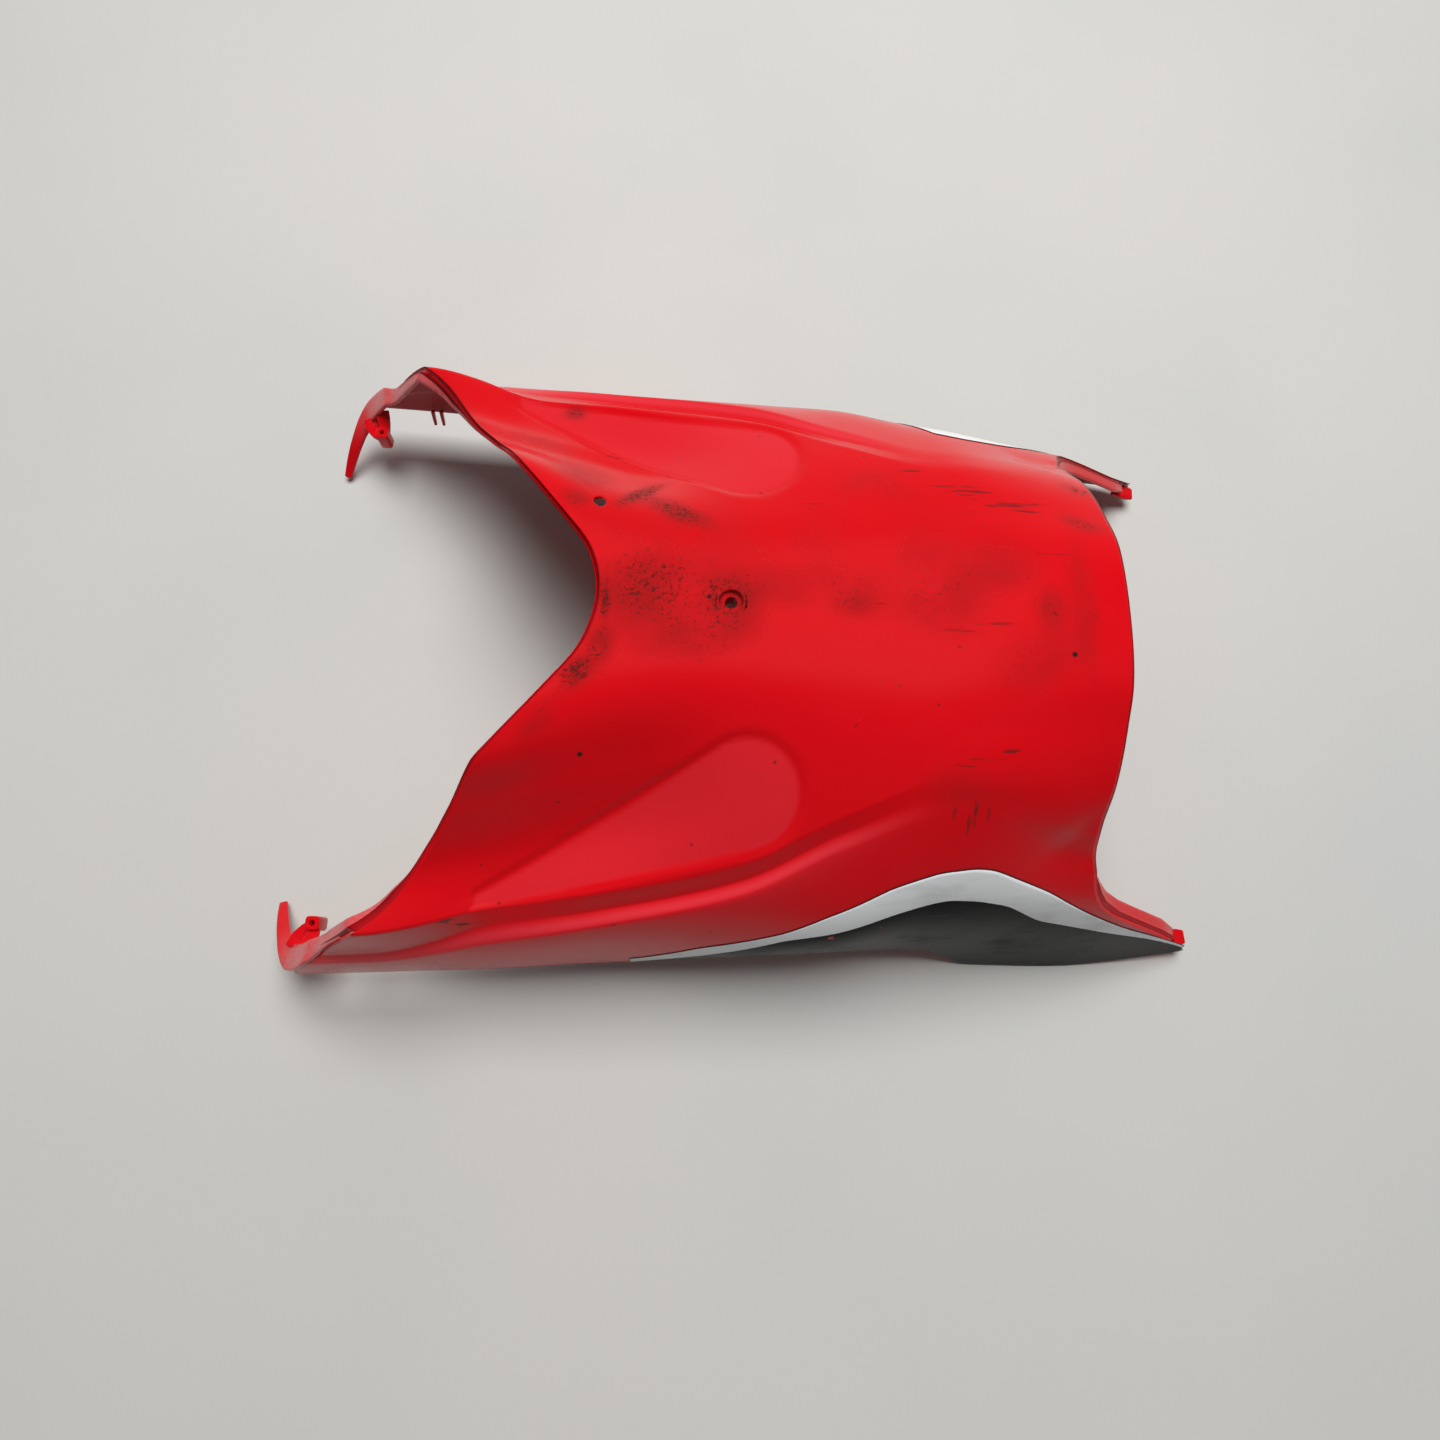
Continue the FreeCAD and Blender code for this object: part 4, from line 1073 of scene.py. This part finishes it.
def red_plastic():
    """Worn gloss red moulding: dirt marks, specks, dust film, a rougher underside darkened as painted shade,
    a painted highlight on the ridge and teardrops, and a rim pale with dust and painted light.
    """
    graph = Graph(bpy.data.materials.new("red_plastic"))
    graph.use(RED_SPECULAR, "Specular IOR Level")
    fine = graph.noise(1500, 3)
    grain = graph.noise(420, 5)
    cloud = graph.noise(22, 4)
    soft = graph.noise(7, 2)
    along = graph.noise(260, 4, (0.12, 1, 1))
    across = graph.noise(260, 4, (1, 0.12, 0.12))
    speckle = graph.mark("speckle")
    streak = graph.mark("streak")
    scratch = graph.mark("scratch")
    under = graph.mark("under")
    dots = (fine * 0.5 + grain * 0.5).over(speckle, 0.69, 0.25, 0.07) * speckle.rise(0.02, 0.35)
    film = speckle * cloud.rise(0.25, 0.75) * 0.75
    lines = along.over(streak, 0.76, 0.30, 0.08) * streak
    cuts = across.over(scratch, 0.76, 0.28, 0.08) * scratch
    specks = graph.most(graph.specks(95, 0.13, 0.28), graph.specks(40, 0.07, 0.40))
    spots = graph.spots(DENT_SPOTS)
    marks = graph.most(dots * 0.85, film, lines * 0.8, cuts * 0.75, specks * 0.6, spots)
    # Painted shade: the inner skin is darkened towards a deep red
    base = graph.blend(under * 0.85, RED, SHADED_UNDERSIDE_RED)
    base = graph.blend((cloud + soft * 0.6).rise(0.7, 1.2) * 0.012, base, PINK_DUST_AND_LIGHT)
    # Painted highlight: the ridge and the teardrops are lightened towards a pale red
    base = graph.blend(graph.mark("painted_highlight") * 0.5, base, HIGHLIGHT_RED)
    # Rim and tongue: pale pink, partly dust and partly painted light
    rim = graph.mark("rim") * (grain.rise(0.3, 0.7) * 0.4 + 0.6)
    base = graph.blend(rim * 0.55, base, PINK_DUST_AND_LIGHT)
    graph.use(graph.blend(marks, base, DIRT), "Base Color")
    graph.use(cloud * 0.12 + 0.17 + marks * 0.4 + under * 0.25, "Roughness")
    height = graph.noise(420, 2) * 0.5 + graph.noise(60, 2) * 2.0 - graph.most(cuts, spots) * 2.0
    graph.use(graph.bump(height), "Normal")
    return graph.owner


WHITE_PRINT = (0.84, 0.86, 0.87, 1)
BLACK_PRINT = (0.006, 0.006, 0.007, 1)
GRIME = (0.36, 0.35, 0.34, 1)
SCUFF = (0.16, 0.16, 0.17, 1)
BORDER = (0.03, 0.012, 0.012, 1)
DARK_SPECK = (0.06, 0.05, 0.05, 1)
CHIP_RED = (0.55, 0.06, 0.06, 1)
FILM_SPECULAR = 0.06
CHIPS = (((50.0, -173.0, 87.0), 2.6), ((67.0, -168.0, 88.0), 1.6), ((77.0, -166.0, 89.0), 2.4))


def printed_film():
    """Gloss vinyl with a white band over a black field, a thin dark border, grime and chips."""
    graph = Graph(bpy.data.materials.new("printed_film"))
    graph.use(FILM_SPECULAR, "Specular IOR Level")
    cloud = graph.noise(26, 4)
    grain = graph.noise(500, 5)
    along = graph.noise(200, 4, (0.15, 1, 1))
    grime = (cloud + along * 0.5).rise(0.72, 1.05) * 0.35
    white = graph.blend(grime, WHITE_PRINT, GRIME)
    black = graph.blend(along.rise(0.62, 0.74) * 0.10, BLACK_PRINT, SCUFF)
    wobble = (grain - 0.5) * 0.25
    base = graph.blend((graph.mark("field") + wobble).rise(-0.12, 0.12), black, white)
    base = graph.blend((graph.mark("edge") + wobble).rise(0.75, 0.45), base, BORDER)
    specks = graph.most(graph.specks(120, 0.09, 0.16), graph.specks(45, 0.05, 0.2))
    base = graph.blend(specks * 0.7, base, DARK_SPECK)
    chips = graph.spots(CHIPS) * grain.rise(0.50, 0.58)
    graph.use(graph.blend(chips, base, CHIP_RED), "Base Color")
    graph.use(cloud * 0.12 + 0.13 + grime * 0.5, "Roughness")
    graph.use(graph.bump(grain * 0.2 + graph.noise(70, 2) * 1.6), "Normal")
    return graph.owner


# Camera, floor and light, in metres. The sky is light by degrees from the far horizon to the near one
CAMERA_PLACE = (-0.03406, -0.1868, 0.59486)
CAMERA_RIGHT = (0.99893, 0.02114, 0.04121)
CAMERA_FORWARD = (0.0341, 0.26664, -0.96319)
LENS = 21.75
SENSOR = 36.0
FLOOR_REACH = 3.0
FLOOR_COLOURS = ((0.64, 0.625, 0.59, 1), (0.60, 0.60, 0.585, 1))
FLOOR_ROUGHNESS = 0.55
LAMP_PLACE = (0.1, 0.9, 2.5)
LAMP_AIM = (0, 0, 0.08)
LAMP_POWER = 80.0
LAMP_SIZE = 1.7
SKY = (
    (0, 0.42), (12, 0.30), (30, 0.20), (46, 0.17), (52, 0.05), (68, 0.05), (79, 0.12), (94, 0.13),
    (104, 0.06), (119, 0.09), (133, 0.10), (145, 0.05), (160, 0.09), (172, 0.16), (180, 0.20),
)


def add_camera():
    """Camera at the photograph's place and angle."""
    forward = Vector(CAMERA_FORWARD).normalized()
    right = Vector(CAMERA_RIGHT)
    right = (right - forward * right.dot(forward)).normalized()
    data = bpy.data.cameras.new("camera")
    data.lens = LENS
    data.sensor_width = SENSOR
    turn = Matrix((right, right.cross(forward), -forward)).transposed().to_4x4()
    scene.camera = placed("camera", data)
    scene.camera.matrix_world = Matrix.Translation(CAMERA_PLACE) @ turn


def add_floor():
    """Plain pale floor."""
    mesh = bpy.data.meshes.new("floor")
    corners = [(x * FLOOR_REACH, y * FLOOR_REACH, 0) for x, y in ((-1, -1), (1, -1), (1, 1), (-1, 1))]
    mesh.from_pydata(corners, [], [(0, 1, 2, 3)])
    graph = Graph(bpy.data.materials.new("floor"))
    base = graph.blend(graph.noise(3, 4).rise(0.35, 0.75), *FLOOR_COLOURS)
    graph.use(base, "Base Color")
    graph.use(FLOOR_ROUGHNESS, "Roughness")
    mesh.materials.append(graph.owner)
    floor = placed("floor", mesh)


def add_light():
    """Soft studio light: a large lamp over the far side, and a dim room around it."""
    graph = Graph(bpy.data.worlds.new("world"), "Background", "Generated")
    parts = graph.node("ShaderNodeSeparateXYZ", {0: graph.place})
    angle = graph.math("ARCTAN2", parts.other("Z"), parts.other("Y"))
    turn = graph.math("ABSOLUTE", graph.math("DIVIDE", angle, math.pi))
    ramp = graph.node("ShaderNodeValToRGB", {0: turn})
    stops = ramp.socket.node.color_ramp.elements
    while len(stops) < len(SKY):
        stops.new(0.5)
    for stop, (degrees, level) in zip(stops, SKY):
        stop.position = degrees / 180
    for stop, (degrees, level) in zip(stops, SKY):
        stop.color = (level, level, level, 1)
    graph.use(ramp, "Color")
    scene.world = graph.owner
    data = bpy.data.lights.new("lamp", "AREA")
    data.energy = LAMP_POWER
    data.size = LAMP_SIZE
    lamp = placed("lamp", data)
    lamp.location = LAMP_PLACE
    lamp.rotation_euler = (Vector(LAMP_AIM) - lamp.location).to_track_quat("-Z", "Y").to_euler()
    lamp.visible_glossy = False


add_camera()
add_floor()
add_light()
plastic = red_plastic()
add_shell(plastic)
add_tail_forms(plastic)
add_films(printed_film())
